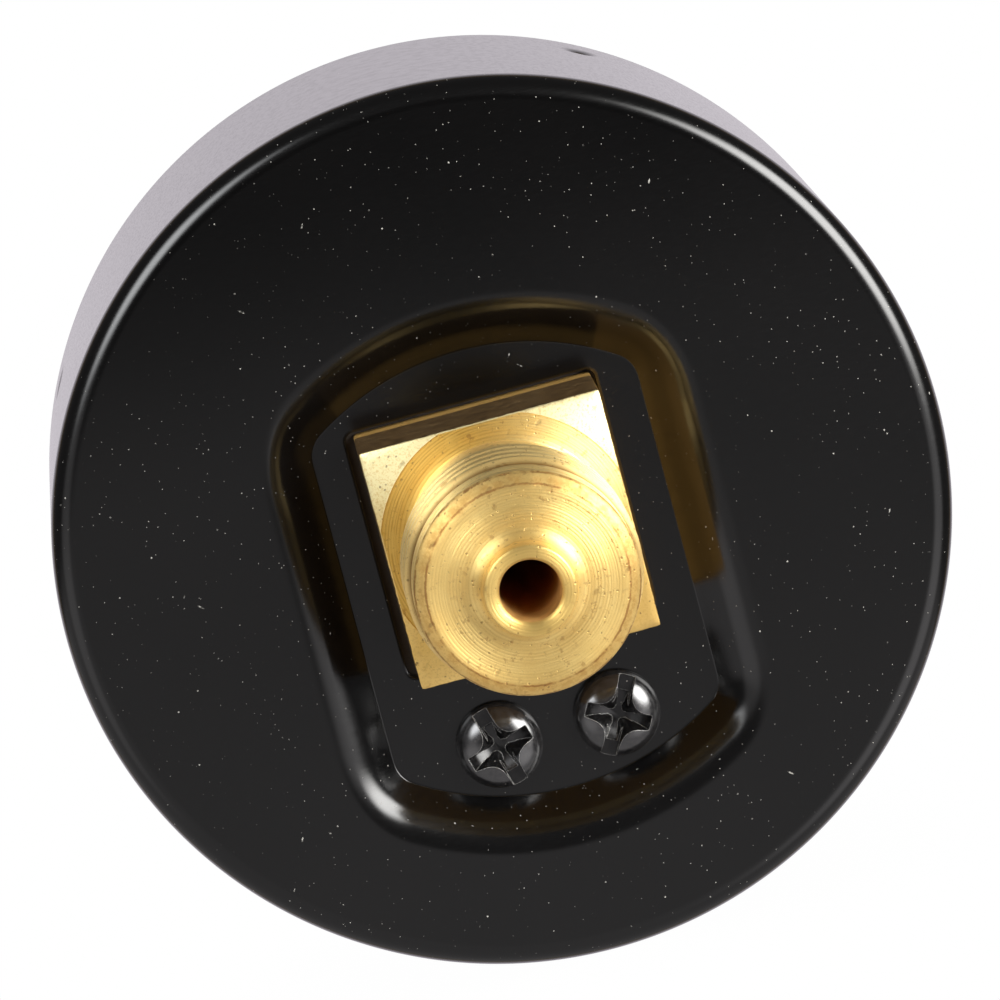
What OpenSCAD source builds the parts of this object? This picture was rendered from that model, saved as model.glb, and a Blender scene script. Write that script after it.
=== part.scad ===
// Back-connection bourdon-tube pressure gauge, nominal size 50 mm.
// Row frame: the gauge stands upright, +Z towards 12 o'clock, the dial faces -Y and
// the threaded stub points along +Y. The origin is the centre of the shoulder face
// of the 14 mm square, on the stub's axis.
// Every module is drawn in a dial frame (x right, y up, z towards the reader) and
// place() turns that frame into the row frame. Directions are in degrees
// anticlockwise from 3 o'clock. Cuts run a little past the faces they open.

/* [Case] */
// Outside diameter of the drawn case
case_od = 51.6; // [51:0.1:54]
// Depth of the case from its back to its front rim
case_depth = 23; // [23:0.5:26]
// Thickness of the case sheet
case_wall = 0.8; // [0.6:0.1:1]
// Outside radius of the rounded back edge
edge_r = 1.3; // [1.1:0.1:2]
// Depth of the pocket embossed in the back
pocket_depth = 1.8; // [1.4:0.1:2]
// Half width of the pocket at the back face
pocket_half_w = 12.1; // [11.6:0.1:12.6]
// Height of the pocket's top above the axis, at the back face
pocket_top = 12.7; // [12:0.1:13.2]
// Distance of the pocket's lowest point below the axis, at the back face
pocket_low = 18.5; // [18:0.1:19]
// Horizontal run of the pocket's sloping side
pocket_slope = 2.45; // [2:0.05:2.6]
// Direction of the first of the four staked dimples
dimple_dir = 27.5; // [0:0.5:45]
// Distance of the dimples behind the front rim
dimple_back = 4.3; // [4:0.1:4.6]
// Depth of a dimple
dimple_depth = 0.45; // [0.3:0.05:0.5]

/* [Socket] */
// Width across the wrench flats
square_w = 14; // [13.5:0.1:14.2]
// Distance of the shoulder face behind the back of the case
square_proud = 4.5; // [4:0.1:5]
// Length of the stub from the shoulder to its end face
stub_len = 14.4; // [13:0.1:16]
// Radius of the thread crests
thread_r = 6.58; // [6.4:0.01:6.6]
// Radius of the plain relief between the shoulder and the thread
relief_r = 5.7; // [5.4:0.05:5.8]
// Length of the relief, up to the first full thread
relief_len = 6.5; // [5:0.1:7]
// Length of the threaded part
thread_len = 4.8; // [4:0.1:5.2]
// Radius of the plain lead between the thread and the end face
lead_r = 6.24; // [6:0.01:6.35]
// Radius of the end face inside its chamfer
face_r = 5.55; // [5.3:0.01:5.8]
// Radius of the centring spigot
spigot_r = 2.55; // [2.4:0.01:2.7]
// Length of the centring spigot
spigot_len = 1.8; // [1.5:0.1:2]
// Radius of the pressure bore
bore_r = 1.7; // [1.4:0.05:1.8]

/* [Fasteners] */
// Half spacing of the two case screws
screw_x = 3.5; // [3.3:0.1:3.7]
// Distance of the case screws below the axis
screw_y = 12.5; // [12:0.1:12.8]
// Radius of a case screw's head
screw_head_r = 2.4; // [2:0.05:2.4]
// Height of a case screw's head
screw_head_h = 1.6; // [1.3:0.1:1.7]

/* [Tube] */
// Centreline radius of the bourdon tube
coil_r = 18.3; // [18:0.1:18.6]
// Width of the flattened tube, across the coil
tube_w = 2.6; // [2.4:0.1:2.8]
// Height of the flattened tube, along the axis
tube_h = 7; // [6.6:0.1:7.2]
// Wall of the tube
tube_wall = 0.35; // [0.3:0.05:0.45]
// Direction at which the tube leaves the socket
tube_root_dir = 255; // [254:0.5:257]
// Direction of the tube's free end
tube_tip_dir = -5; // [-6:0.5:-4]

/* [Movement] */
// Module of the gears
gear_module = 0.25; // [0.25:0.01:0.25]
// Teeth on the pinion
pinion_teeth = 12; // [12:1:12]
// Teeth that a full circle of the sector would have
sector_teeth = 96; // [96:1:96]
// Teeth cut on the sector
sector_cut = 13; // [13:1:13]
// Direction of the sector arbor from the pinion
sector_dir = -38.27; // [-39:0.01:-37.5]
// Length of the link between its pivots
link_len = 7; // [6.8:0.1:7.2]
// Direction of the link from the tube tip to the sector's tail
link_dir = -106.4; // [-107:0.1:-106]
// Distance of the tip pivot from the axis
lug_r = 16.2; // [16:0.1:16.4]
// Direction of the tip pivot
lug_dir = -13; // [-13.5:0.1:-12.5]
// Radial clearance of the pivots
pivot_gap = 0.04; // [0.02:0.01:0.06]
// Turns of the hairspring
spring_turns = 3.5; // [3.5:1:4.5]

/* [Dial and window] */
// Radius of the dial
dial_r = 24.2; // [23.8:0.1:24.3]
// Direction of the pointer at zero
zero_dir = 225; // [222:1:228]
// Length of the pointer from its centre to its tip
pointer_len = 19; // [16:0.5:20]
// Thickness of the window
window_t = 1.6; // [1.4:0.1:1.8]

/* [Hidden] */

// Facets of a large and a small circle
fine = 96;
round_n = 48;

// Colours shared by several nodes
plate_brass = [0.80, 0.64, 0.33];
wheel_brass = [0.82, 0.66, 0.34];
screw_steel = [0.75, 0.75, 0.76];
pin_steel = [0.72, 0.72, 0.74];
arbor_steel = [0.70, 0.70, 0.72];

// Thicknesses and radii
case_r = case_od / 2;
case_in = case_r - case_wall;
cove_r = spigot_len / 2;
plate_t = 1.0;
dial_t = 0.5;
sector_t = 0.8;
link_t = 0.7;
hub_t = 0.6;
pointer_t = 0.3;
axial_gap = 0.05;
pinion_low_r = 0.5;      // pinion pivot in the bottom plate
pinion_high_r = 0.7;     // pinion pivot in the top plate, and pointer shaft
sector_pivot_r = 0.6;
link_pin_r = 0.5;
hub_neck_r = 1.2;
stop_pin_r = 0.35;
post_tenon_r = 0.8;
pillar_tenon_r = 0.7;
spring_r0 = 1.6;
spring_r1 = 5.6;
spring_h = 0.5;

// Levels along z, from the back to the front
z_back = square_proud;                       // back face of the case
z_floor = z_back + pocket_depth;             // pocket floor, outside
z_in = z_floor + case_wall;                  // pocket floor, inside
z_tube = z_in + 5.9;                         // mid plane of the bourdon tube
z_tongue = z_tube - 0.6;                     // back of the tip's tongue
z_block = z_in + 3.9;                        // front face of the socket block
z_bottom = z_block;                          // back of the bottom plate
z_sector = z_bottom + 1.6;
z_link = z_sector + sector_t + axial_gap;
z_link_head = z_link + link_t + axial_gap;   // seat of the heads over the link
z_spring = z_bottom + 3.6;
z_top = z_bottom + 5.2;                      // back of the top plate
z_post = z_top + plate_t;                    // front of the top plate
z_dial = z_post + 2.8;                       // back of the dial
z_hub = z_dial + 1.0;
z_pointer = z_hub + hub_t;
z_rim = z_back + case_depth;                 // front rim
z_dimple = z_rim - dimple_back;
z_window = z_rim - 0.4;                      // front face of the window

// Places in the dial plane
axis = [0, 0];
pinion_pitch_r = gear_module * pinion_teeth / 2;
sector_pitch_r = gear_module * sector_teeth / 2;
sector_pos = polar(pinion_pitch_r + sector_pitch_r, sector_dir);
tip_pos = polar(lug_r, lug_dir);
tail_pos = tip_pos + polar(link_len, link_dir);
stop_pos = polar(15, zero_dir + 3.8);
pillar_pos = [[-7, 2.5], [3, -12]];
move_pos = [[-6, -9.5], [6.5, 5.5]];
case_screw_pos = [for (side = [-1, 1]) [side * screw_x, -screw_y]];
post_pos = [[-9, 0], [9, 0]];
stud_dir = 215;

// Plate outlines, [x, y]
bottom_outline = [
  [-9, -11.2], [-8, -12], [0, -13.9], [4.6, -13.9], [12.2, -10.4], [12.9, -7.4],
  [9, 2], [9, 6.6], [7.6, 8], [-7.6, 5.6], [-9, 4.4]];
top_outline = [
  [-11, -2], [-8, -5], [-1, -12], [1, -13.9], [5, -13.9], [12.2, -10.8], [12.9, -7.4],
  [11, -2.6], [11, 2], [10, 3], [2, 4.4], [-6, 5.2], [-9, 5.2], [-11, 3.2]];

function polar(radius, dir) = radius * [cos(dir), sin(dir)];
function at(point, z) = [point[0], point[1], z];

// Points of an arc about centre, in the given number of steps
function arc(centre, radius, start, end, steps) =
  [for (i = [0:steps]) centre + polar(radius, start + (end - start) * i / steps)];

// Corners of a straight strap between two points
function strap(start, end, half_w) =
  let (run = end - start, side = half_w * [-run[1], run[0]] / norm(run))
  [start + side, end + side, end - side, start - side];

// Turns the dial frame into the row frame
module place() { rotate([90, 0, 0]) children(); }

// Plain disc, hole or post
module rod(point, radius, z_from, z_to) {
  translate(at(point, z_from)) cylinder(h = z_to - z_from, r = radius, $fn = round_n);
}

// Flat bar with round ends; its sides lie just inside the end circles
module bar(start, end, radius, z_from, z_to) {
  rod(start, radius, z_from, z_to);
  rod(end, radius, z_from, z_to);
  translate([0, 0, z_from]) linear_extrude(height = z_to - z_from)
    polygon(strap(start, end, 0.98 * radius));
}

// ---- Case ----

// Outline of the embossed pocket, moved inwards by inset
module pocket_outline(inset) {
  corner_r = 2.2;
  top_r = 18.5;
  low_r = 18.7;
  half_w = pocket_half_w - inset;
  offset(r = corner_r, $fn = 32) offset(delta = -corner_r) intersection() {
    translate([-half_w, -30]) square([2 * half_w, 60]);
    translate([0, pocket_top - top_r]) circle(r = top_r - inset, $fn = fine);
    translate([0, low_r - pocket_low]) circle(r = low_r - inset, $fn = fine);
  }
}

// Solid of the pocket with its sloping sides, its outline grown outwards by grow
module pocket(z_from, z_to, grow) {
  slice = 0.01;
  hull() {
    translate([0, 0, z_from]) linear_extrude(height = slice) pocket_outline(-grow);
    translate([0, 0, z_to - slice]) linear_extrude(height = slice)
      pocket_outline(pocket_slope - grow);
  }
}

// Ball that forms a dimple, grown by grow
module dimple_ball(i, grow) {
  half_chord = 1.45;   // at the outside of the case wall
  ball_r = (half_chord * half_chord + dimple_depth * dimple_depth) / (2 * dimple_depth);
  translate(at(polar(case_r + ball_r - dimple_depth, dimple_dir + 90 * i), z_dimple))
    sphere(r = ball_r + grow, $fn = round_n);
}

module case() {
  inner_edge_r = edge_r - case_wall;
  rim_cut = 0.15;
  square_gap = 0.2;
  hole_w = square_w + 2 * square_gap;
  color([0.09, 0.09, 0.095]) place() difference() {
    union() {
      // drawn cup: up the outside, over the rim and down the inside
      rotate_extrude($fn = fine) polygon(concat(
        [[0, z_back]],
        arc([case_r - edge_r, z_back + edge_r], edge_r, -90, 0, 8),
        [[case_r, z_rim - rim_cut], [case_r - rim_cut, z_rim],
         [case_in + rim_cut, z_rim], [case_in, z_rim - rim_cut]],
        arc([case_in - inner_edge_r, z_back + case_wall + inner_edge_r],
            inner_edge_r, 0, -90, 6),
        [[0, z_back + case_wall]]));
      pocket(z_back + case_wall / 2, z_in, case_wall);
      for (i = [0:3]) intersection() {
        dimple_ball(i, case_wall * 0.95);
        rod(axis, case_in + 0.2, z_dimple - 4, z_dimple + 4);
      }
    }
    pocket(z_back - 0.01, z_floor, 0);
    for (i = [0:3]) dimple_ball(i, 0);
    translate([-hole_w / 2, -hole_w / 2, z_back - 1]) cube([hole_w, hole_w, 6]);
    for (point = case_screw_pos) rod(point, 1.4, z_back - 1, z_in + 1);
  }
}

// ---- Socket ----

// Section of the bourdon tube at the coil radius, grown by grow
module tube_section(grow) {
  half_w = tube_w / 2 + grow;
  straight = tube_h / 2 + grow - half_w;   // half height of the flat sides
  translate([coil_r, z_tube]) {
    translate([-half_w, -straight]) square([2 * half_w, 2 * straight]);
    translate([0, straight]) circle(r = half_w, $fn = round_n);
    translate([0, -straight]) circle(r = half_w, $fn = round_n);
  }
}

// Solid part of the coil between two directions
module coil(grow, start, end) {
  rotate([0, 0, start]) rotate_extrude(angle = end - start, $fn = fine) tube_section(grow);
}

// Stub: relief, thread at its crest radius, lead, chamfer, end face, cove and spigot
module stub() {
  thread_end = -relief_len - thread_len;
  spigot_end = -stub_len - spigot_len;
  rotate_extrude($fn = fine) polygon(concat(
    [[0, 0.5], [relief_r, 0.5], [relief_r, -relief_len + 0.5], [thread_r, -relief_len],
     [thread_r, thread_end], [lead_r, thread_end - 0.25],
     [lead_r, -stub_len + 0.5], [face_r, -stub_len]],
    arc([spigot_r + cove_r, -stub_len - cove_r], cove_r, 90, 180, 8),
    [[spigot_r, spigot_end + 0.15], [spigot_r - 0.15, spigot_end], [0, spigot_end]]));
}

module socket() {
  spigot_end = -stub_len - spigot_len;
  bore_cut = 0.2;
  boss_x = coil_r * cos(tube_root_dir);
  boss_wall = 1.2;
  channel_len = 17.7;
  color([0.80, 0.62, 0.30]) place() difference() {
    union() {
      translate([-square_w / 2, -square_w / 2, 0]) cube([square_w, square_w, z_in + 0.5]);
      stub();
      // block inside the case
      translate([-8.2, -14.5, z_in]) cube([16.4, 22.5, z_block - z_in]);
      // boss that holds the root of the tube
      translate([boss_x, -21.3, z_tube - tube_h / 2 - boss_wall])
        cube([3.5 - boss_x, 7.2, tube_h + 2 * boss_wall]);
    }
    // bore and the chamfer at its mouth
    rod(axis, bore_r, spigot_end - 1, z_block - 0.6);
    translate([0, 0, spigot_end - 0.01]) rotate_extrude($fn = fine)
      polygon([[0, 0], [bore_r + bore_cut, 0], [bore_r, bore_cut], [0, bore_cut]]);
    // seat of the tube, and the channel from it to the bore
    coil(0, tube_root_dir - 6, tube_root_dir + 13);
    translate([-1.2, -channel_len, z_block - 1.3]) rotate([-90, 0, 0])
      cylinder(h = channel_len, r = 0.6, $fn = round_n);
    for (point = case_screw_pos) rod(point, 1.25, z_in - 1, z_block + 1);
    for (point = move_pos) rod(point, 0.8, z_block - 3, z_block + 1);
  }
}

// ---- Screws ----

// Pan head with a cross recess and a slot, seated at z 0 and facing -z
module combo_head(head_r, head_h, turn) {
  top_r = head_r * 0.62;
  edge_h = head_h * 0.35;
  slot_w = 0.6;
  slot_depth = 0.55;
  cross_w = 0.68;
  cross_len = 2.5;
  cross_depth = 0.95;
  difference() {
    rotate_extrude($fn = fine) polygon(concat(
      [[0, 0], [head_r - 0.06, 0], [head_r, -0.08]],
      [for (i = [0:8]) let (dir = 90 * i / 8)
        [head_r - (head_r - top_r) * (1 - cos(dir)), -edge_h - (head_h - edge_h) * sin(dir)]],
      [[0, -head_h]]));
    rotate([0, 0, turn]) translate([-head_r - 1, -slot_w / 2, -head_h - 1])
      cube([2 * head_r + 2, slot_w, slot_depth + 1]);
    for (arm = [0, 90]) rotate([0, 0, turn + arm])
      translate([-cross_len / 2, -cross_w / 2, -head_h - 1])
        cube([cross_len, cross_w, cross_depth + 1]);
  }
}

// Slotted cheese head on z 0, facing +z, with a shank below it
module small_screw(head_r, head_h, shank_r, shank_len) {
  step = 0.12;
  slot_w = 0.28;
  difference() {
    union() {
      cylinder(h = head_h - step, r = head_r, $fn = round_n);
      cylinder(h = head_h, r = head_r - step, $fn = round_n);
    }
    translate([-head_r - 1, -slot_w / 2, head_h * 0.5]) cube([2 * head_r + 2, slot_w, head_h]);
  }
  translate([0, 0, -shank_len]) cylinder(h = shank_len, r = shank_r, $fn = round_n);
}

module case_screws() {
  turns = [118, 74];
  color([0.08, 0.08, 0.085]) place() for (i = [0, 1])
    translate(at(case_screw_pos[i], z_floor)) {
      combo_head(screw_head_r, screw_head_h, turns[i]);
      cylinder(h = 4.2, r = 1.2, $fn = round_n);
    }
}

module dial_screws() {
  turns = [-15, 55];
  color(screw_steel) place() for (i = [0, 1])
    translate(at(post_pos[i], z_dial + dial_t)) rotate([0, 0, turns[i]])
      small_screw(head_r = 1.3, head_h = 0.6, shank_r = 0.6, shank_len = 2.0);
}

module pillar_screws() {
  turns = [30, 100];
  color(screw_steel) place() for (i = [0, 1])
    translate(at(pillar_pos[i], z_post)) rotate([0, 0, turns[i]])
      small_screw(head_r = 1.5, head_h = 0.7, shank_r = 0.7, shank_len = 3.6);
}

module movement_screws() {
  turns = [15, 65];
  color(screw_steel) place() for (i = [0, 1])
    translate(at(move_pos[i], z_bottom + plate_t)) rotate([0, 0, turns[i]])
      small_screw(head_r = 1.4, head_h = 0.5, shank_r = 0.75, shank_len = 3.6);
}

module tip_screw() {
  color(pin_steel) place() translate(at(tip_pos, z_link_head)) rotate([0, 0, 40])
    small_screw(head_r = 1.05, head_h = 0.6, shank_r = link_pin_r,
                shank_len = z_link_head - z_tongue);
}

// ---- Window, dial and pointer ----

// Pane with a skirt that reaches back towards the dial, grooved around the dimples
module window() {
  outer_r = case_in - 0.1;
  skirt_r = outer_r - 1.3;
  groove_r = outer_r - 0.42;
  skirt_z = z_dial + dial_t + 0.5;
  edge_cut = 0.4;
  color([0.85, 0.92, 0.95, 0.35]) place() rotate_extrude($fn = fine) polygon([
    [0, z_window - window_t], [skirt_r, z_window - window_t], [skirt_r, skirt_z],
    [outer_r, skirt_z], [outer_r, z_dimple - 1.9],
    [groove_r, z_dimple - 1.6], [groove_r, z_dimple + 1.6], [outer_r, z_dimple + 1.9],
    [outer_r, z_window - edge_cut], [outer_r - edge_cut, z_window], [0, z_window]]);
}

module dial() {
  color([0.93, 0.93, 0.90]) place() difference() {
    rod(axis, dial_r, z_dial, z_dial + dial_t);
    rod(axis, 2.3, z_dial - 1, z_dial + 2);
    for (point = post_pos) rod(point, 0.8, z_dial - 1, z_dial + 2);
    rod(stop_pos, stop_pin_r, z_dial - 1, z_dial + 2);
  }
}

module dial_posts() {
  color([0.78, 0.62, 0.32]) place() for (point = post_pos) difference() {
    union() {
      rod(point, 1.4, z_post, z_dial);
      rod(point, post_tenon_r, z_top, z_post);
    }
    rod(point, 0.65, z_dial - 2.2, z_dial + 1);
  }
}

// Pin through the dial, with a collar behind it
module stop_pin() {
  z_collar = z_dial - 0.4;
  color(pin_steel) place() {
    rod(stop_pos, stop_pin_r, z_collar, z_hub + 1.2);
    rod(stop_pos, 0.55, z_collar, z_dial);
  }
}

module pointer() {
  taper_x = pointer_len - 3;
  color([0.05, 0.05, 0.05]) place() rotate([0, 0, zero_dir]) difference() {
    union() {
      rod(axis, 2.2, z_pointer, z_pointer + pointer_t);
      translate([0, 0, z_pointer]) linear_extrude(height = pointer_t) polygon([
        [0, 0.95], [taper_x, 0.45], [pointer_len, 0.12],
        [pointer_len, -0.12], [taper_x, -0.45], [0, -0.95],
        [-6.2, -1.25], [-6.8, -0.9], [-6.8, 0.9], [-6.2, 1.25]]);
    }
    rod(axis, hub_neck_r, z_hub, z_hub + 2);
  }
}

module pointer_hub() {
  color(plate_brass) place() difference() {
    union() {
      rod(axis, 1.9, z_hub, z_pointer);
      rod(axis, hub_neck_r, z_hub, z_hub + 1.1);
    }
    rod(axis, pinion_high_r, z_hub - 1, z_hub + 3);
  }
}

// ---- Bourdon tube and link ----

module bourdon_tube() {
  color([0.78, 0.58, 0.30]) place() difference() {
    coil(0, tube_tip_dir, tube_root_dir + 7);
    coil(-tube_wall, tube_tip_dir - 2, tube_root_dir + 9);
  }
}

// Plug inside the tube's free end, cap over it and tongue to the tip pivot
module tube_tip() {
  cap_angle = 3.5;
  cap_w = 3;
  cap_h = 7.4;
  color([0.80, 0.62, 0.32]) place() difference() {
    union() {
      coil(-tube_wall, tube_tip_dir - 1, tube_tip_dir + 5);
      rotate([0, 0, tube_tip_dir - cap_angle]) rotate_extrude(angle = cap_angle, $fn = fine)
        translate([coil_r - cap_w / 2, z_tube - cap_h / 2]) square([cap_w, cap_h]);
      bar(polar(coil_r - 0.6, tube_tip_dir - 4.2), tip_pos, 1.1, z_tongue, z_tube + 0.4);
    }
    rod(tip_pos, link_pin_r, z_tube - 3, z_tube + 3);
  }
}

module link() {
  color([0.74, 0.74, 0.76]) place() difference() {
    union() {
      for (point = [tip_pos, tail_pos]) rod(point, 1.15, z_link, z_link + link_t);
      translate([0, 0, z_link]) linear_extrude(height = link_t)
        polygon(strap(tip_pos, tail_pos, 0.75));
    }
    rod(tip_pos, 0.69, z_link - 1, z_link + 2);
    rod(tail_pos, link_pin_r + pivot_gap, z_link - 1, z_link + 2);
  }
}

module link_rivet() {
  color(pin_steel) place() {
    rod(tail_pos, link_pin_r, z_sector, z_link_head);
    rod(tail_pos, 0.9, z_link_head, z_link_head + 0.35);
  }
}

// ---- Gears ----

// Angle of the involute at a radius, in degrees
function involute(radius, base_r) =
  radius <= base_r ? 0
  : let (pressure = acos(base_r / radius)) tan(pressure) * 180 / PI - pressure;

// Outline of one tooth centred on a direction, from the larger angle to the smaller;
// addendum and dedendum are in modules, thinning is taken off its width
function tooth(teeth, addendum, dedendum, thinning, dir) =
  let (pitch_r = gear_module * teeth / 2,
       base_r = pitch_r * cos(20),
       root_r = pitch_r - dedendum * gear_module,
       height = (addendum + dedendum) * gear_module,
       half = 90 / teeth - thinning / (2 * pitch_r) * 180 / PI + involute(pitch_r, base_r),
       steps = 6,
       radii = [for (i = [0:steps]) root_r + height * i / steps])
  concat([for (i = [0:steps]) polar(radii[i], dir + half - involute(radii[i], base_r))],
         [for (i = [steps:-1:0]) polar(radii[i], dir - half + involute(radii[i], base_r))]);

module pinion() {
  z_shoulder = z_bottom + plate_t + axial_gap;
  color(arbor_steel) place() {
    rod(axis, pinion_low_r, z_bottom + axial_gap, z_shoulder);
    rod(axis, 0.9, z_shoulder, z_top - axial_gap);
    rod(axis, pinion_high_r, z_top - axial_gap, z_hub + 1.3);
    translate([0, 0, z_sector - 0.3]) linear_extrude(height = 1.7)
      polygon([for (i = [0:pinion_teeth - 1])
        each tooth(pinion_teeth, 1, 1.25, 0.03, sector_dir - 360 / pinion_teeth * i)]);
  }
}

// Toothed rim on two spokes, with a tail to the link
module sector_gear() {
  dedendum = 1.3;
  step = 360 / sector_teeth;
  end = sector_dir + 180 + 2 * step;
  start = end - sector_cut * step;
  margin = 0.6;   // degrees of rim past the teeth
  root_r = sector_pitch_r - dedendum * gear_module;
  z_front = z_sector + sector_t;
  color(wheel_brass) place() difference() {
    union() {
      translate(at(sector_pos, 0)) {
        translate([0, 0, z_sector]) linear_extrude(height = sector_t) polygon(concat(
          [polar(root_r, end + margin)],
          [for (i = [0:sector_cut - 1])
            each tooth(sector_teeth, 0.8, dedendum, 0.03, end - (0.5 + i) * step)],
          [polar(root_r, start - margin)],
          arc(axis, root_r - 1.2, start - margin, end + margin, 24)));
        for (dir = [start + 1.5, end - 1.5])
          bar(axis, polar(root_r - 0.8, dir), 0.7, z_sector, z_front);
        rod(axis, 2, z_sector, z_front);
      }
      bar(sector_pos, tail_pos, 1.15, z_sector, z_front);
    }
    rod(sector_pos, 1, z_sector - 1, z_front + 1);
    rod(tail_pos, link_pin_r, z_sector - 1, z_front + 1);
  }
}

module sector_arbor() {
  color(arbor_steel) place() {
    rod(sector_pos, sector_pivot_r, z_bottom + axial_gap, z_post + 0.2);
    rod(sector_pos, 1.0, z_bottom + plate_t + axial_gap, z_top - axial_gap);
  }
}

// ---- Hairspring ----

// Flat spiral whose outer end lies in the stud's slot
module hairspring() {
  steps = 24 * spring_turns;
  half_t = 0.06;
  function radius(i) = spring_r0 + (spring_r1 - spring_r0) * i / steps;
  function dir(i) = stud_dir - 360 * spring_turns * (1 - i / steps);
  color([0.86, 0.68, 0.36]) place() translate([0, 0, z_spring + 0.1])
    linear_extrude(height = spring_h) polygon(concat(
      [for (i = [0:steps]) polar(radius(i) + half_t, dir(i))],
      [for (i = [steps:-1:0]) polar(radius(i) - half_t, dir(i))]));
}

// Split ring on the pinion
module hairspring_collet() {
  slit_w = 0.2;
  color(wheel_brass) place() difference() {
    rod(axis, spring_r0 - 0.06, z_spring, z_spring + 0.8);
    rod(axis, 0.9, z_spring - 1, z_spring + 2);
    rotate([0, 0, 150]) translate([0, -slit_w / 2, z_spring - 1]) cube([3, slit_w, 3]);
  }
}

// Slotted post behind the top plate
module hairspring_stud() {
  slot_w = 0.24;
  color(wheel_brass) place() difference() {
    rod(polar(spring_r1, stud_dir), 0.6, z_spring - 0.4, z_top);
    rotate([0, 0, stud_dir]) translate([spring_r1 - slot_w / 2, -1, z_spring - 0.5])
      cube([slot_w, 2, 1.2]);
  }
}

// ---- Movement frame ----

// Round holes of one radius in a plate
module holes(points, radius) {
  for (point = points) translate(point) circle(r = radius, $fn = round_n);
}

module bottom_plate() {
  color(plate_brass) place() translate([0, 0, z_bottom])
    linear_extrude(height = plate_t) difference() {
      polygon(bottom_outline);
      holes([axis], pinion_low_r + pivot_gap);
      holes([sector_pos], sector_pivot_r + pivot_gap);
      holes(move_pos, 0.9);
      holes(pillar_pos, pillar_tenon_r);
      holes(case_screw_pos, 1.3);
    }
}

module top_plate() {
  color(plate_brass) place() translate([0, 0, z_top])
    linear_extrude(height = plate_t) difference() {
      polygon(top_outline);
      holes([axis], pinion_high_r + pivot_gap);
      holes([sector_pos], sector_pivot_r + pivot_gap);
      holes(pillar_pos, 0.8);
      holes(post_pos, post_tenon_r);
    }
}

module pillars() {
  color(plate_brass) place() for (point = pillar_pos) difference() {
    union() {
      rod(point, 1.4, z_bottom + plate_t, z_top);
      rod(point, pillar_tenon_r, z_bottom, z_bottom + plate_t);
    }
    rod(point, 0.75, z_top - 3, z_top + 1);
  }
}

case();
socket();
case_screws();
window();
dial();
dial_screws();
dial_posts();
stop_pin();
pointer();
pointer_hub();
bourdon_tube();
tube_tip();
tip_screw();
link();
link_rivet();
sector_gear();
sector_arbor();
pinion();
hairspring();
hairspring_collet();
hairspring_stud();
bottom_plate();
top_plate();
pillars();
pillar_screws();
movement_screws();
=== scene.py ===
"""A pressure gauge seen from behind: black cup case, square-shouldered brass stub with a
pipe thread, Bourdon tube, hairspring, dial and pointer.

Shapes are drawn in millimetres in a dial frame: x to the right and y up for a reader of the
dial, z towards that reader. They stand in the row frame as (x, -z, y), so the dial faces -Y
and the stub points along +Y. z = 0 is the shoulder face of the stub.
"""

import math

import bmesh
import bpy
import numpy as np
from mathutils import Matrix, Vector

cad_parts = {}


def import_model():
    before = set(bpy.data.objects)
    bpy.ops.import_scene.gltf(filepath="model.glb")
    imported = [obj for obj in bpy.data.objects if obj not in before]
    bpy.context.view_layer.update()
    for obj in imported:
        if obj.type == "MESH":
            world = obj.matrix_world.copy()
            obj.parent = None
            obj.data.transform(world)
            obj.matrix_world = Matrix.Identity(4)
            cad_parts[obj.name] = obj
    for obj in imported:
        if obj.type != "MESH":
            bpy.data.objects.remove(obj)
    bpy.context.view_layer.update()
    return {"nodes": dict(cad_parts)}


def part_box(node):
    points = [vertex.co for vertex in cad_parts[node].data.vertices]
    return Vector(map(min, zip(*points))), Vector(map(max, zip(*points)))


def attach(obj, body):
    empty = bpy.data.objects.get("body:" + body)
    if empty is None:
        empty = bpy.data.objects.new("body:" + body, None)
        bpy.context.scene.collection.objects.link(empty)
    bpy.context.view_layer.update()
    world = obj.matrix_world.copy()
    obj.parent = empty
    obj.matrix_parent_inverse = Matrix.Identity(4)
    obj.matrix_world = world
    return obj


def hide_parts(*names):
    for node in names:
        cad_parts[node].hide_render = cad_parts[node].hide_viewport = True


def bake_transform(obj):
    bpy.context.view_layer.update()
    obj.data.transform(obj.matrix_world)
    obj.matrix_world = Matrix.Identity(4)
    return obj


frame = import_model()
nodes = frame["nodes"]
MM = 0.001
TAU = 2 * math.pi
scene = bpy.context.scene


# ---------------------------------------------------------------- measures, in millimetres
def depth_span(piece):
    """Dial-frame z of the back and the front of a CAD piece."""
    low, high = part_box(piece)
    return -high.y / MM, -low.y / MM


Z_BACK, Z_RIM = depth_span("case")
CASE_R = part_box("case")[1].x / MM
WALL = 0.8                          # thickness of the case sheet
CASE_IN = CASE_R - WALL
EDGE_R = 1.3                        # rounding between the case's back and its wall
HEAD_H = 1.6                        # height of the case screw heads
Z_FLOOR = depth_span("case_screws")[0] + HEAD_H   # pocket floor, where the heads seat
Z_IN = Z_FLOOR + WALL               # inner face of the pocket floor

Z_END = depth_span("socket")[0]     # end face of the spigot
STUB = -Z_END - 1.8                 # length of the stub without its spigot
THREAD_R, LEAD_R, FACE_R, RELIEF_R = 6.58, 6.24, 5.55, 5.7
SPIGOT_R, BORE_R, COVE_R = 2.55, 1.7, 0.9
SQUARE = 7.0                        # half the width across flats
Z_BLOCK = depth_span("bottom_plate")[0]           # front of the block inside the case

SCREW_X, SCREW_Y = 3.5, 12.5        # case screws at (+-SCREW_X, -SCREW_Y)
Z_DIAL, Z_DIAL_TOP = depth_span("dial")
Z_SPRING0, Z_SPRING1 = depth_span("hairspring")
Z_TUBE0, Z_TUBE1 = depth_span("bourdon_tube")
TUBE_Z = (Z_TUBE0 + Z_TUBE1) / 2
Z_POINTER0, Z_POINTER1 = depth_span("pointer")


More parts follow.
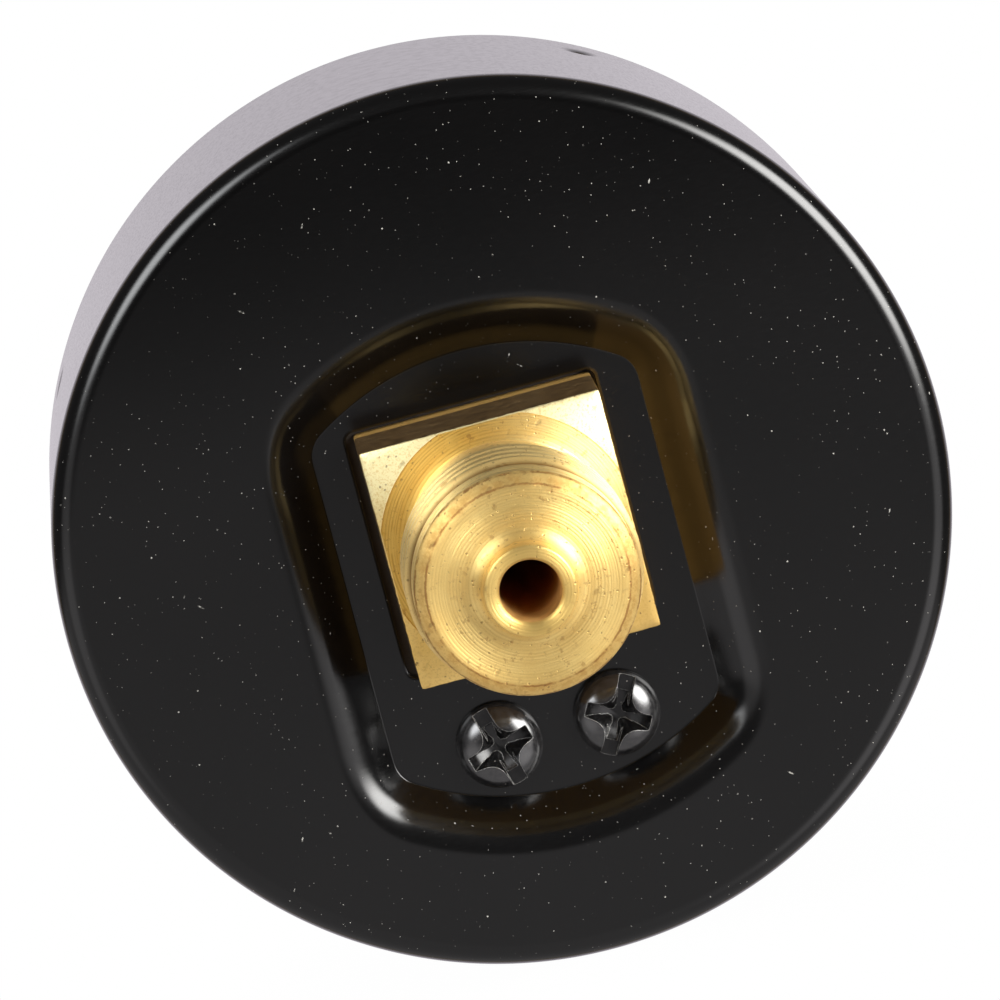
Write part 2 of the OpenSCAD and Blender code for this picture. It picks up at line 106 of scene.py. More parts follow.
# ---------------------------------------------------------------- node helpers
class Tree:
    """Fills an emptied node tree. Inputs are plain values or outputs of other nodes."""

    def __init__(self, owner):
        owner.use_nodes = True
        self.owner, self.tree = owner, owner.node_tree
        self.tree.nodes.clear()

    def add(self, kind, inputs=None, out=0, **settings):
        """Add a node and return its output, or a list of outputs if out is a tuple."""
        node = self.tree.nodes.new("ShaderNode" + kind)
        for key, value in settings.items():
            setattr(node, key, value)
        for key, value in (inputs or {}).items():
            if isinstance(value, Value):
                self.tree.links.new(value.socket, node.inputs[key])
            else:
                node.inputs[key].default_value = value
        if isinstance(out, tuple):
            return [Value(self, node.outputs[key]) for key in out]
        return Value(self, node.outputs[out])

    def calc(self, operation, *values):
        return self.add("Math", dict(enumerate(values)), operation=operation)

    def normal(self):
        return self.add("NewGeometry", out="Normal")


class Value:
    """An output socket that takes arithmetic: each operation adds one node."""

    def __init__(self, tree, socket):
        self.tree, self.socket = tree, socket

    def calc(self, operation, *others):
        return self.tree.calc(operation, self, *others)

    def __add__(self, other):
        return self.calc("ADD", other)

    def __radd__(self, other):
        return self.tree.calc("ADD", other, self)

    def __sub__(self, other):
        return self.calc("SUBTRACT", other)

    def __rsub__(self, other):
        return self.tree.calc("SUBTRACT", other, self)

    def __mul__(self, other):
        return self.calc("MULTIPLY", other)

    def __abs__(self):
        return self.calc("ABSOLUTE")

    def vector(self, operation, other=None, scale=None):
        inputs = {0: self}
        if other is not None:
            inputs[1] = other
        if scale is not None:
            inputs["Scale"] = scale
        out = "Value" if operation == "DOT_PRODUCT" else "Vector"
        return self.tree.add("VectorMath", inputs, out, operation=operation)

    def ramp(self, start, end, first=0.0, last=1.0, smooth=True):
        """Goes from first to last while this value goes from start to end."""
        inputs = {"Value": self, "From Min": start, "From Max": end, "To Min": first,
                  "To Max": last}
        kind = "SMOOTHSTEP" if smooth else "LINEAR"
        return self.tree.add("MapRange", inputs, interpolation_type=kind, clamp=True)

    def fall(self, start, end):
        """Goes from 1 to 0 while this value goes from start to end."""
        return self.ramp(start, end, 1.0, 0.0)


def larger(a, b):
    return a.calc("MAXIMUM", b)


def mix(factor, a, b):
    """Colour a where factor is 0, b where it is 1. A plain colour is (r, g, b)."""
    a, b = (c if isinstance(c, Value) else (*c, 1.0) for c in (a, b))
    return factor.tree.add("Mix", {0: factor, 6: a, 7: b}, 2, data_type="RGBA")


def mix_value(factor, a, b):
    return factor.tree.add("Mix", {0: factor, 2: a, 3: b}, data_type="FLOAT")


def scaled(colour, factors):
    return tuple(c * k for c, k in zip(colour, factors))


def noise(place, scale, detail=2.0, rough=0.5, key="Vector", **settings):
    inputs = {key: place, "Scale": scale, "Detail": detail, "Roughness": rough}
    return place.tree.add("TexNoise", inputs, **settings)


def noise_1d(place, scale, detail=2.0, rough=0.5):
    return noise(place, scale, detail, rough, key="W", noise_dimensions="1D")


def separate(vector):
    return vector.tree.add("SeparateXYZ", {0: vector}, (0, 1, 2))


def combine_axes(tree, x, y, z):
    return tree.add("CombineXYZ", {0: x, 1: y, 2: z})


def stretched(place, factors):
    return place.vector("MULTIPLY", factors)


def specks(place, scale, core, edge, stretch=None, turn=None):
    """Mask of scattered grains, solid within core mm of a random point and gone at edge mm."""
    if turn is not None:
        inputs = {"Vector": place, "Rotation": turn}
        place = place.tree.add("VectorRotate", inputs, rotation_type="EULER_XYZ")
    if stretch is not None:
        place = stretched(place, stretch)
    inputs = {"Vector": place, "Scale": scale}
    distance = place.tree.add("TexVoronoi", inputs, "Distance", voronoi_dimensions="3D")
    return distance.fall(core * scale, edge * scale)


def surface(name):
    """A new material's tree, and the object coordinates in mm."""
    tree = Tree(bpy.data.materials.new(name))
    return tree, tree.add("TexCoord", out="Object").vector("SCALE", scale=1000.0)


def principled(tree, inputs, height, distance, strength, normal=None):
    bump = {"Height": height, "Distance": distance, "Strength": strength}
    if normal is not None:
        bump["Normal"] = normal
    return tree.add("BsdfPrincipled", {**inputs, "Normal": tree.add("Bump", bump)})


def finish(tree, inputs, height, distance, strength, normal=None):
    """Close a material: principled surface, with height as bump of that distance in metres."""
    shader = principled(tree, inputs, height, distance, strength, normal)
    tree.add("OutputMaterial", {"Surface": shader}, ())
    return tree.owner


# ---------------------------------------------------------------- materials
# Noise and speck scales are per millimetre. In object coordinates y runs out along the stub
# and z runs up.
def enamel():
    """Black stoving enamel with dust grains, short lint fibres and hairline rubs."""
    tree, mm = surface("black_enamel")
    patch = noise(mm, scale=0.09, detail=3.0)
    fine = specks(mm, scale=2.3, core=0.015, edge=0.046)
    coarse = specks(mm, scale=0.85, core=0.030, edge=0.065)
    fine = fine * patch.ramp(0.40, 0.56, first=0.15)
    lint = [
        specks(mm, scale=0.62, core=0.03, edge=0.055, stretch=(long, 1.0, 1.0), turn=turn)
        for long, turn in ((0.22, (0.0, 0.7, 0.0)), (0.25, (0.0, -1.1, 0.2)))]
    dust = larger(larger(fine, coarse), larger(*lint))
    dust = dust * noise(mm, scale=7.0, detail=1.0).ramp(0.36, 0.62, first=0.10)
    peel = noise(mm, scale=2.6)
    rub = noise(stretched(mm, (1.0, 1.0, 9.0)), scale=1.3, detail=3.0)
    colour = mix(patch.ramp(0.3, 0.7), (0.0006, 0.0006, 0.0006), (0.0011, 0.0010, 0.0010))
    colour = mix(dust, colour, (0.34, 0.33, 0.30))
    rough = mix_value(rub.ramp(0.35, 0.75), 0.165, 0.205)
    rough = mix_value(dust, rough, 0.75)
    height = peel * 0.12 + dust * 2.0
    # painted shade: reflection weakened towards twelve o'clock of the flat back, so its top reads
    # darker
    _, _, up = separate(mm)
    _, facing_back, _ = separate(tree.normal())
    painted_shade_top = facing_back.ramp(0.96, 0.995) * up.ramp(6.0, 24.0)
    inputs = {"Base Color": colour, "Roughness": rough, "IOR": 1.5,
              "Specular IOR Level": 0.5 - painted_shade_top * 0.27}
    return finish(tree, inputs, height, distance=1.2e-6, strength=0.5)


def brass_marks(mm, shift=0.0):
    """The shifted coordinates of the marks, the clouding and the small pits of brass."""
    place = mm.vector("ADD", (shift, shift * 1.7, -shift))
    cloud = noise(place, scale=0.35, detail=4.0, rough=0.6)
    wander = place.tree.add("TexNoise", {"Vector": place, "Scale": 5.0, "Detail": 2.0}, 1)
    bent = place.vector("ADD", wander.vector("SCALE", scale=0.16))
    round_pits = specks(bent, scale=2.1, core=0.035, edge=0.085)
    long_pits = specks(bent, scale=0.8, core=0.05, edge=0.17, stretch=(1.0, 1.0, 0.45),
                       turn=(0.3, 0.9, 0.0))
    return place, cloud, larger(round_pits, long_pits * 0.8)


def brass_stain(place):
    return noise(place, scale=0.9, detail=5.0, rough=0.65).ramp(0.60, 0.74)


def across_marks(tree, x, z):
    """Direction across the tool marks: radial on a faced surface, axial on a turned one."""
    along = combine_axes(tree, z, 0.0, x * -1.0).vector("NORMALIZE")
    return along.vector("CROSS_PRODUCT", tree.normal()).vector("NORMALIZE")


def end_oxide(colour, rough, mm, radius, y, base):
    """Duller spigot end, and brown oxide along the chamfer of the stub's end face."""
    tip = radius.fall(2.45, 2.62) * y.ramp(STUB + 0.9, STUB + 1.5)
    colour = mix(tip * 0.55, colour, scaled(base, (0.70, 0.62, 0.45)))
    near = radius.ramp(FACE_R - 0.16, FACE_R + 0.04) * y.ramp(STUB - 0.62, STUB - 0.22)
    wide = radius.ramp(FACE_R - 0.5, FACE_R + 0.2) * y.ramp(STUB - 1.9, STUB - 0.5)
    ragged = noise(mm, scale=1.9, detail=5.0, rough=0.7).ramp(0.42, 0.60)
    band = larger(near * (0.45 + ragged * 0.55), wide * (ragged * 0.55))
    colour = mix(band * 0.80, colour, (0.56, 0.33, 0.095))
    # two dark wandering lines at the chamfer's edges
    wander = (noise(mm, scale=3.0, detail=4.0, rough=0.7) - 0.5) * 0.22

    def line(at, core, edge):
        return abs((radius + wander) - at).fall(core, edge)

    lines = larger(line(FACE_R + 0.05, core=0.025, edge=0.085),
                   line(LEAD_R - 0.06, core=0.02, edge=0.07))
    broken = noise(mm, scale=1.1, detail=4.0, rough=0.6).ramp(0.36, 0.56, first=0.15)
    lines = lines * (y.ramp(STUB - 0.8, STUB - 0.6) * broken)
    colour = mix(lines * 0.75, colour, (0.30, 0.13, 0.035))
    return colour, mix_value(band, rough, 0.58)


def thread_root_darkening(colour, rough, mm, radius, y, base):
    """Darker brown in the roots of the thread and in a band at its outer end."""
    threaded = y.ramp(6.1, 6.6) * y.fall(11.50, 11.75)
    colour = mix(radius.fall(6.18, 6.50) * threaded * 0.88, colour, (0.27, 0.14, 0.035))
    thread_end = abs(y - 11.62).fall(0.05, 0.16)
    return mix(thread_end * 0.75, colour, (0.38, 0.19, 0.05)), rough


def brass_turned(name, base, ring, depth, rough, aniso, lines, pitch=0.165, metal=0.86,
                 pale=0.0, wear=None):
    """Turned brass: tool rings round the stub's axis, stains and small pits.

    ring: scale of the uneven rings; depth: bump in metres; pitch: feed of the tool in mm;
    lines: darkness of its grooves; pale: strength of the painted highlight; wear: local marks.
    """
    tree, mm = surface(name)
    x, y, z = separate(mm)
    radius = (x * x + z * z).calc("SQRT")
    run = radius + y * 0.9          # grows across the marks on faced and turned surfaces
    rings = (noise_1d(run, scale=ring, detail=3.0, rough=0.65) * 1.0
             + noise_1d(run, scale=ring * 0.28, detail=1.0) * 0.9)
    place, cloud, pit = brass_marks(mm)
    stain = brass_stain(place)
    grain = noise(mm, scale=9.0, detail=3.0, rough=0.6)
    # tool marks: one groove per turn of the feed, uneven in depth
    uneven = run + noise_1d(run, scale=1.3) * 0.25
    groove = 0.5 + (uneven * (TAU / pitch)).calc("SINE") * 0.5
    patches = noise(combine_axes(tree, run * 2.4, cloud * 2.0, 0.0), scale=1.0, detail=3.0,
                    rough=0.6)
    groove = groove.calc("POWER", 1.6) * patches.ramp(0.34, 0.62, first=0.25)
    rings = rings - groove * 0.5

    colour = mix(cloud.ramp(0.30, 0.70), scaled(base, (0.93, 0.88, 0.80)), base)
    colour = mix(groove * lines, colour, scaled(base, (0.60, 0.46, 0.30)))
    colour = mix(rings.ramp(0.65, 1.15) * 0.22, colour, scaled(base, (0.72, 0.58, 0.42)))
    colour = mix(stain * 0.55, colour, (0.50, 0.28, 0.095))
    if pale:
        # painted highlight: paler, whiter metal in the quarter towards -X and up
        lighter_patch = x.fall(-5.5, 1.5) * z.ramp(-2.0, 3.0)
        colour = mix(lighter_patch * pale, colour, (0.84, 0.74, 0.40))
    blotch = noise(mm, scale=2.0, detail=6.0, rough=0.72).ramp(0.570, 0.625)
    blotch = blotch * cloud.ramp(0.38, 0.52)
    colour = mix(blotch * 0.60, colour, (0.42, 0.22, 0.065))
    fine = noise(mm, scale=16.0, detail=3.0, rough=0.7)
    colour = mix(fine.ramp(0.50, 0.66, last=0.24), colour, scaled(base, (0.62, 0.50, 0.35)))

    roughness = mix_value(grain.ramp(0.3, 0.7), rough - 0.05, rough + 0.06)
    roughness = mix_value(stain, roughness, rough + 0.10)
    if wear:
        colour, roughness = wear(colour, roughness, mm, radius, y, base)
    dark = pit * 0.50
    colour = mix(dark, colour, (0.16, 0.075, 0.03))
    inputs = {"Base Color": colour, "Metallic": metal,
              "Roughness": mix_value(dark, roughness, 0.7),
              "Anisotropic": aniso, "Tangent": across_marks(tree, x, z)}
    height = (rings + grain * 0.45) - pit * 0.7
    return finish(tree, inputs, height, distance=depth, strength=1.0)


def brass_corner():
    """The square's corners outside the turned circle: smooth bar end, leaning outwards."""
    tree, mm = surface("brass_corner")
    place, cloud, pit = brass_marks(mm, shift=3.0)
    grain = noise(mm, scale=5.0, detail=4.0, rough=0.6)
    colour = mix(cloud.ramp(0.3, 0.7), (0.78, 0.52, 0.15), (0.88, 0.62, 0.22))
    x, _, z = separate(mm)
    # painted highlight: the corners turn paler and whiter towards the top
    colour = mix(z.ramp(0.5, 5.5) * 0.92, colour, (0.80, 0.73, 0.42))
    # painted shade: the lower corner towards -X is darkened
    low = z.fall(-5.0, -1.0) * x.fall(-7.0, -3.0)
    colour = mix(low * 0.9, colour, (0.63, 0.42, 0.13))
    fleck = noise(mm, scale=6.5, detail=5.0, rough=0.78).ramp(0.48, 0.62)
    colour = mix(fleck * 0.5, colour, (0.56, 0.34, 0.09))
    colour = mix(brass_stain(place) * 0.35, colour, (0.52, 0.31, 0.10))
    colour = mix(pit * 0.7, colour, (0.14, 0.07, 0.03))
    rough = mix_value(grain.ramp(0.3, 0.7), 0.40, 0.50)
    out_x, _, out_z = separate(mm)
    outward = combine_axes(tree, out_x, 0.0002, out_z).vector("NORMALIZE")
    lean = tree.normal().vector("ADD", outward.vector("SCALE", scale=0.15))
    inputs = {"Base Color": colour, "Metallic": 0.85, "Roughness": rough,
              "Anisotropic": 0.6, "Tangent": outward}
    return finish(tree, inputs, grain, distance=7e-6, strength=0.8,
                  normal=lean.vector("NORMALIZE"))


def brass_side():
    """Sides of the square: drawn skin, brown and rough, with golden metal in places."""
    tree, mm = surface("brass_skin")
    drawn = noise(stretched(mm, (0.35, 1.0, 0.35)), scale=4.0, detail=6.0, rough=0.75)
    _, cloud, pit = brass_marks(mm, shift=7.0)
    grain = noise(mm, scale=13.0, detail=4.0, rough=0.75)
    colour = mix(drawn.ramp(0.35, 0.68), (0.070, 0.040, 0.016), (0.19, 0.115, 0.045))
    spark = grain.ramp(0.585, 0.66) * cloud.ramp(0.42, 0.58)
    colour = mix(spark, colour, (0.80, 0.62, 0.34))
    x, y, z = separate(mm)
    # a ragged golden border next to the case floor
    border = y + (drawn - 0.5) * 0.9
    colour = mix(border.fall(-5.70, -5.40) * 0.85, colour, (0.62, 0.38, 0.11))
    # the flats facing -X and down are lighter
    lighter_patch = larger(x.fall(-6.97, -6.93), z.fall(-6.97, -6.93))
    colour = mix(lighter_patch * 0.55, colour, (0.80, 0.46, 0.11))
    colour = mix(pit * 0.8, colour, (0.045, 0.025, 0.015))
    rough = mix_value(drawn.ramp(0.3, 0.7), 0.55, 0.72)
    inputs = {"Base Color": colour, "Metallic": 0.85, "Roughness": rough}
    return finish(tree, inputs, drawn * 1.2 + grain, distance=0.9e-5, strength=0.8)


def brass_bore():
    """Drilled bore: redder in its depth."""
    tree, mm = surface("brass_bore")
    _, y, _ = separate(mm)
    rings = noise_1d(y, scale=5.0, detail=3.0, rough=0.6)
    cloud = noise(mm, scale=0.6, detail=4.0, rough=0.6)
    mouth = y.ramp(4.0, 15.6)
    colour = mix(cloud.ramp(0.35, 0.65), (0.50, 0.26, 0.07), (0.66, 0.38, 0.12))
    colour = mix(mouth, (0.60, 0.27, 0.09), colour)
    inputs = {"Base Color": colour, "Metallic": 0.6, "Roughness": 0.5}
    return finish(tree, inputs, rings, distance=6e-6, strength=0.8)


def screw_black(name, tone):
    """Black oxide, glossy, with edges rubbed grey; tone scales its brightness and gloss."""
    tree, mm = surface(name)
    grain = noise(mm, scale=3.5, detail=4.0, rough=0.6)
    scuff = noise(stretched(mm, (1.0, 1.0, 4.0)), scale=6.0, detail=3.0, rough=0.7)
    bevel = tree.add("Bevel", {"Radius": 0.00007}, samples=4)
    edge = 1.0 - bevel.vector("DOT_PRODUCT", tree.normal())
    worn = edge.ramp(0.02, 0.16) * scuff.ramp(0.35, 0.6)
    dust = larger(specks(mm, scale=1.5, core=0.02, edge=0.045), 0.0)
    tones = (tone,) * 3
    colour = mix(grain.ramp(0.35, 0.65), scaled((0.007, 0.007, 0.0075), tones),
                 scaled((0.016, 0.015, 0.015), tones))
    colour = mix(worn * 0.95, colour, (0.42, 0.41, 0.39))
    colour = mix(dust, colour, (0.22, 0.2, 0.18))
    inputs = {"Base Color": colour, "Metallic": 0.15 * tone,
              "Roughness": mix_value(grain.ramp(0.3, 0.7), 0.14, 0.26),
              "IOR": 1.25 + 0.5 * tone, "Coat Weight": 0.4 * tone, "Coat Roughness": 0.10}
    return finish(tree, inputs, scuff, distance=4e-6, strength=0.6, normal=bevel)


def sheet(name, dark, light, rough=0.32, metal=1.0, brush=(1.0, 1.0, 14.0), bevel=6e-5):
    """Brushed sheet or turned small part, with softened edges; brush squeezes the marks."""
    tree, mm = surface(name)
    line = noise(stretched(mm, brush), scale=1.2, detail=4.0, rough=0.6)
    cloud = noise(mm, scale=0.5, detail=3.0)
    pit = specks(mm, scale=1.3, core=0.03, edge=0.06)
    softened = tree.add("Bevel", {"Radius": bevel}, samples=4)
    colour = mix(cloud.ramp(0.3, 0.7), dark, light)
    colour = mix(line.ramp(0.5, 0.8) * 0.3, colour, scaled(dark, (0.6, 0.55, 0.5)))
    colour = mix(pit * 0.6, colour, scaled(dark, (0.25, 0.2, 0.18)))
    roughness = mix_value(line.ramp(0.3, 0.7), rough - 0.05, rough + 0.08)
    inputs = {"Base Color": colour, "Metallic": metal, "Roughness": roughness}
    return finish(tree, inputs, line, distance=2e-6, strength=0.8, normal=softened)


def dial_white():
    """White dial paint with faint orange peel and a few dust grains."""
    tree, mm = surface("dial_paint")
    peel = noise(mm, scale=5.0)
    cloud = noise(mm, scale=0.08)
    dust = specks(mm, scale=0.7, core=0.02, edge=0.035)
    colour = mix(cloud.ramp(0.3, 0.7), (0.83, 0.83, 0.81), (0.88, 0.88, 0.86))
    colour = mix(dust * 0.5, colour, (0.35, 0.33, 0.3))
    rough = mix_value(peel.ramp(0.3, 0.7), 0.42, 0.55)
    inputs = {"Base Color": colour, "Roughness": rough, "IOR": 1.5}
    return finish(tree, inputs, peel, distance=4e-6, strength=0.4)


def ink(name, dark, rough=0.45):
    """Thin black print or paint, lighter in its grain."""
    tree, mm = surface(name)
    grain = noise(mm, scale=14.0, detail=3.0)
    colour = mix(grain.ramp(0.35, 0.75), dark, tuple(c * 1.9 + 0.004 for c in dark))
    inputs = {"Base Color": colour, "Roughness": mix_value(grain, rough - 0.1, rough + 0.1)}
    return finish(tree, inputs, grain, distance=1.5e-6, strength=0.5)


def clear_plastic():
    """Clear window with fine rubs and grains; shadow and diffuse rays go straight through."""
    tree, mm = surface("clear_window")
    rub = noise(stretched(mm, (1.0, 1.0, 12.0)), scale=0.9, detail=5.0, rough=0.7)
    dust = specks(mm, scale=0.7, core=0.02, edge=0.04)
    inputs = {"Base Color": (0.97, 0.985, 0.99, 1.0), "IOR": 1.49,
              "Roughness": mix_value(rub.ramp(0.55, 0.8), 0.015, 0.06),
              "Transmission Weight": 1.0}
    plastic = principled(tree, inputs, rub, distance=4e-7, strength=0.4)
    grains = tree.add("BsdfDiffuse", {"Color": (0.6, 0.6, 0.58, 1.0)})
    dusty = tree.add("MixShader", {0: dust * 0.7, 1: plastic, 2: grains})
    shadow, diffuse = tree.add("LightPath", out=("Is Shadow Ray", "Is Diffuse Ray"))
    clear = tree.add("BsdfTransparent", {"Color": (0.93, 0.95, 0.95, 1.0)})
    window = tree.add("MixShader", {0: larger(shadow, diffuse), 1: dusty, 2: clear})
    tree.add("OutputMaterial", {"Surface": window}, ())
    return tree.owner


ENAMEL = enamel()
BRASS_STUB = brass_turned(
    "brass_turned_stub", base=(0.90, 0.68, 0.26), ring=4.2, depth=1.5e-5, rough=0.43,
    aniso=0.78, lines=0.44, wear=end_oxide)
BRASS_SHOULDER = brass_turned(
    "brass_turned_shoulder", base=(0.84, 0.59, 0.16), ring=6.5, depth=1.3e-5, rough=0.41,
    aniso=0.80, lines=0.75, pitch=0.166, pale=0.75)
BRASS_THREAD = brass_turned(
    "brass_thread", base=(0.98, 0.75, 0.32), ring=9.0, depth=2.0e-6, rough=0.46, aniso=1.0,
    lines=0.0, metal=0.78, wear=thread_root_darkening)
BRASS_CORNER = brass_corner()
BRASS_SKIN = brass_side()
BRASS_BORE = brass_bore()
SCREW_BLACK = screw_black("black_oxide", tone=1.0)
# painted shade: a darker, duller copy of the black oxide for the slot and the cross recess
RECESS_PAINTED_SHADE = screw_black("black_oxide_painted_shade", tone=0.4)
# painted shade: the inner block's front face, seen through the gap round the square, is made near
# black
BLOCK_PAINTED_SHADE = sheet("brass_block_painted_shade", dark=(0.020, 0.015, 0.011),
                   light=(0.034, 0.024, 0.016), rough=0.62, metal=0.3)
DIAL_WHITE = dial_white()
DIAL_INK = ink("dial_ink", dark=(0.010, 0.010, 0.011))
POINTER_BLACK = ink("pointer_black", dark=(0.012, 0.012, 0.012), rough=0.35)
CLEAR = clear_plastic()
BRASS = sheet("brass_sheet", dark=(0.74, 0.53, 0.22), light=(0.84, 0.63, 0.30))
BRASS_BLOCK = sheet("brass_block", dark=(0.70, 0.49, 0.20), light=(0.80, 0.58, 0.26),
                    rough=0.38, brush=(1.0, 6.0, 1.0))
TUBE_BRONZE = sheet("tube_bronze", dark=(0.70, 0.42, 0.18), light=(0.80, 0.52, 0.26),
                    rough=0.36, brush=(1.0, 8.0, 1.0))
SPRING_BRONZE = sheet("spring_bronze", dark=(0.76, 0.50, 0.22), light=(0.86, 0.60, 0.30),
                      rough=0.25, bevel=1e-5)
STEEL = sheet("steel", dark=(0.50, 0.50, 0.51), light=(0.62, 0.62, 0.63), rough=0.28)


# ---------------------------------------------------------------- mesh helpers
def ring_at(points, z):
    """Lift an outline of (x, y) points to height z, one value or one per point."""
    points = np.asarray(points, float)
    heights = np.broadcast_to(np.asarray(z, float), (len(points),))
    return np.column_stack([points[:, 0], points[:, 1], heights])


def loft(rings, closed=False, caps=False, bands=0):
    """Skin rings of equal count. bands: material index of all, or of each ring's next strip."""
    n, m = len(rings[0]), len(rings)
    if isinstance(bands, int):
        bands = [bands] * m
    k = np.arange(n)
    after = (k + 1) % n
    faces, slots = [], []
    for i in range(m if closed else m - 1):
        a, b = i * n, ((i + 1) % m) * n
        faces += np.column_stack([a + k, a + after, b + after, b + k]).tolist()
        slots += [bands[i]] * n
    if caps:
        faces.append(k[::-1].tolist())
        faces.append(((m - 1) * n + k).tolist())
        slots += [bands[0], bands[m - 2]]
    return np.concatenate(rings), faces, slots


def shade(o, sharp=32.0):
    """Smooth shading, with edges sharper than that many degrees kept sharp."""
    o.data.polygons.foreach_set("use_smooth", [True] * len(o.data.polygons))
    o.data.set_sharp_from_angle(angle=math.radians(sharp))
    o.data.update()


def link_object(name, mesh):
    o = bpy.data.objects.new(name, mesh)
    scene.collection.objects.link(o)
    return o


def make(name, data, materials, sharp=32.0, weld=True):
    """Object from (vertices, faces, material indices) in the dial frame."""
    vertices, faces, slots = data
    v = np.asarray(vertices, float) * MM
    mesh = bpy.data.meshes.new(name)
    mesh.from_pydata(np.column_stack([v[:, 0], -v[:, 2], v[:, 1]]).tolist(), [], faces)
    for material in materials:
        mesh.materials.append(material)
    mesh.polygons.foreach_set("material_index", slots)
    bm = bmesh.new()
    bm.from_mesh(mesh)
    if weld:
        bmesh.ops.remove_doubles(bm, verts=bm.verts, dist=1e-7)
    bmesh.ops.recalc_face_normals(bm, faces=bm.faces)
    bm.to_mesh(mesh)
    bm.free()
    o = link_object(name, mesh)
    shade(o, sharp)
    return o


def evaluated_mesh(o):
    bpy.context.view_layer.update()
    return bpy.data.meshes.new_from_object(
        o.evaluated_get(bpy.context.evaluated_depsgraph_get()))


def combine(o, other, operation="DIFFERENCE", sharp=32.0):
    """Cut other from o, or join it to o. The exact solver steps in if the first finds nothing."""
    modifier = o.modifiers.new("combine", "BOOLEAN")
    modifier.operation = operation
    modifier.object = other
    for solver in ("MANIFOLD", "EXACT"):
        modifier.solver = solver
        mesh = evaluated_mesh(o)
        if len(mesh.polygons) >= 4:
            break
    o.modifiers.clear()
    o.data = mesh
    bpy.data.objects.remove(other)
    shade(o, sharp)


def circle(radius, n, centre=(0.0, 0.0)):
    a = np.arange(n) * TAU / n
    return np.column_stack([centre[0] + radius * np.cos(a), centre[1] + radius * np.sin(a)])


def lathe(profile, n, centre, band=0):
    """Solid turned from a profile of (radius, z)."""
    rings = [ring_at(circle(max(r, 1e-4), n, centre), z) for r, z in profile]
    return loft(rings, caps=True, bands=band)


def drill(o, centre, radius, z0, z1, materials, sides=64, band=0, sharp=32.0):
    cutter = lathe([(radius, z0), (radius, z1)], sides, centre, band)
    combine(o, make("cut", cutter, materials), sharp=sharp)


def prism(outline, z0, z1):
    """Mesh data of a prism on an open list of (x, y) points."""
    n = len(outline)
    vertices = [(x, y, z) for z in (z0, z1) for x, y in outline]
    faces = [list(range(n))[::-1], list(range(n, 2 * n))]
    faces += [[i, (i + 1) % n, n + (i + 1) % n, n + i] for i in range(n)]
    return vertices, faces


def rect(n, cx, cy, half_x, half_y, corner, share=0.3):
    """Rounded rectangle of n points; share of each eighth goes to the corner's arc."""
    points = []
    for k in range(n):
        t = (k / n * 8) % 8
        eighth, f = int(t), t - int(t)
        g = f if eighth % 2 == 0 else 1 - f     # 0 at a side's middle, 1 at a corner's middle
        side = ((eighth + 1) // 2) % 4          # +x, +y, -x, -y
        near, along = (half_x, half_y) if side % 2 == 0 else (half_y, half_x)
        straight = 1 - share
        if g < straight:
            x, y = near, (along - corner) * g / straight
        else:
            a = (g - straight) / share * math.pi / 4
            x = near - corner + corner * math.cos(a)
            y = along - corner + corner * math.sin(a)
        if eighth % 2 == 1:
            y = -y
        c, s = [(1, 0), (0, 1), (-1, 0), (0, -1)][side]
        points.append((cx + x * c - y * s, cy + x * s + y * c))
    return np.array(points)


def smax(a, b, k):
    """Maximum with a blend of width k."""
    h = np.maximum(k - np.abs(a - b), 0) / k
    return np.maximum(a, b) + h * h * k / 4


def smin(a, b, k):
    return -smax(-a, -b, k)


def radial(shape, n, centre, reach=40.0):
    """Outline where shape(x, y) = 0, along n rays from centre, by bisection."""
    a = np.arange(n) * TAU / n
    lo, hi = np.zeros(n), np.full(n, reach)
    c, s = np.cos(a), np.sin(a)
    for _ in range(44):
        mid = (lo + hi) / 2
        inside = shape(centre[0] + mid * c, centre[1] + mid * s) < 0
        lo, hi = np.where(inside, mid, lo), np.where(inside, hi, mid)
    return np.column_stack([centre[0] + lo * c, centre[1] + lo * s])


def between(a, b, share):
    return a * (1 - share) + b * share


def clamp01(x):
    return min(max(x, 0), 1)


def ride(o, body, replaced=None):
    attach(o, body)
    if replaced:
        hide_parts(replaced)


def vertex_array(o):
    return np.array([v.co[:] for v in o.data.vertices])


def ride_between(o, replaced):
    """Bake o's transform into its mesh and hide the CAD piece it replaces."""
    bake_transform(o)
    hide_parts(replaced)


# ---------------------------------------------------------------- case
CASE_N = 864                        # points round the case
POCKET_C = (0.0, -3.0)
BEND_R, CREASE_R = 3.00, 0.12       # radii of the pocket side's bends, at the back and the floor
INSET_BACK, INSET_FLOOR = -0.68, 2.50   # where the pocket's side starts and ends, inwards
HOLE_X, HOLE_Y, HOLE_HALF = 0.13, -0.10, 7.36   # square hole for the stub
LIP_R = 0.15                        # rounding of the rim
DIMPLE_Z = Z_RIM - 4.3
DIMPLE_DEPTH, DIMPLE_ANGLE = 0.34, 27.5


def pocket(inset):
    """Pocket outline at that inset: a flat-sided round, its corners softest at the back."""
    k = 3.0 + (0.8 - 3.0) * clamp01((inset - INSET_BACK) / (INSET_FLOOR - INSET_BACK))

    def shape(x, y):
        sides = np.abs(x) - (12.1 - inset)
        bottom = np.hypot(x, y + 5.8) - (18.5 - inset)
        top = np.hypot(x, y - 0.2) - (18.7 - inset)
        return smax(smax(sides, bottom, k), top, k)
    return radial(shape, CASE_N, POCKET_C)


def pocket_angle():
    """Slope of the pocket's straight side that meets both bends."""
    lo, hi = 0.3, 1.3
    bends = BEND_R + CREASE_R
    for _ in range(60):
        a = (lo + hi) / 2
        rise = math.tan(a) * (INSET_FLOOR - INSET_BACK - bends * math.sin(a))
        miss = rise - (Z_FLOOR - Z_BACK - bends * (1 - math.cos(a)))
        lo, hi = (a, hi) if miss < 0 else (lo, a)
    return (lo + hi) / 2


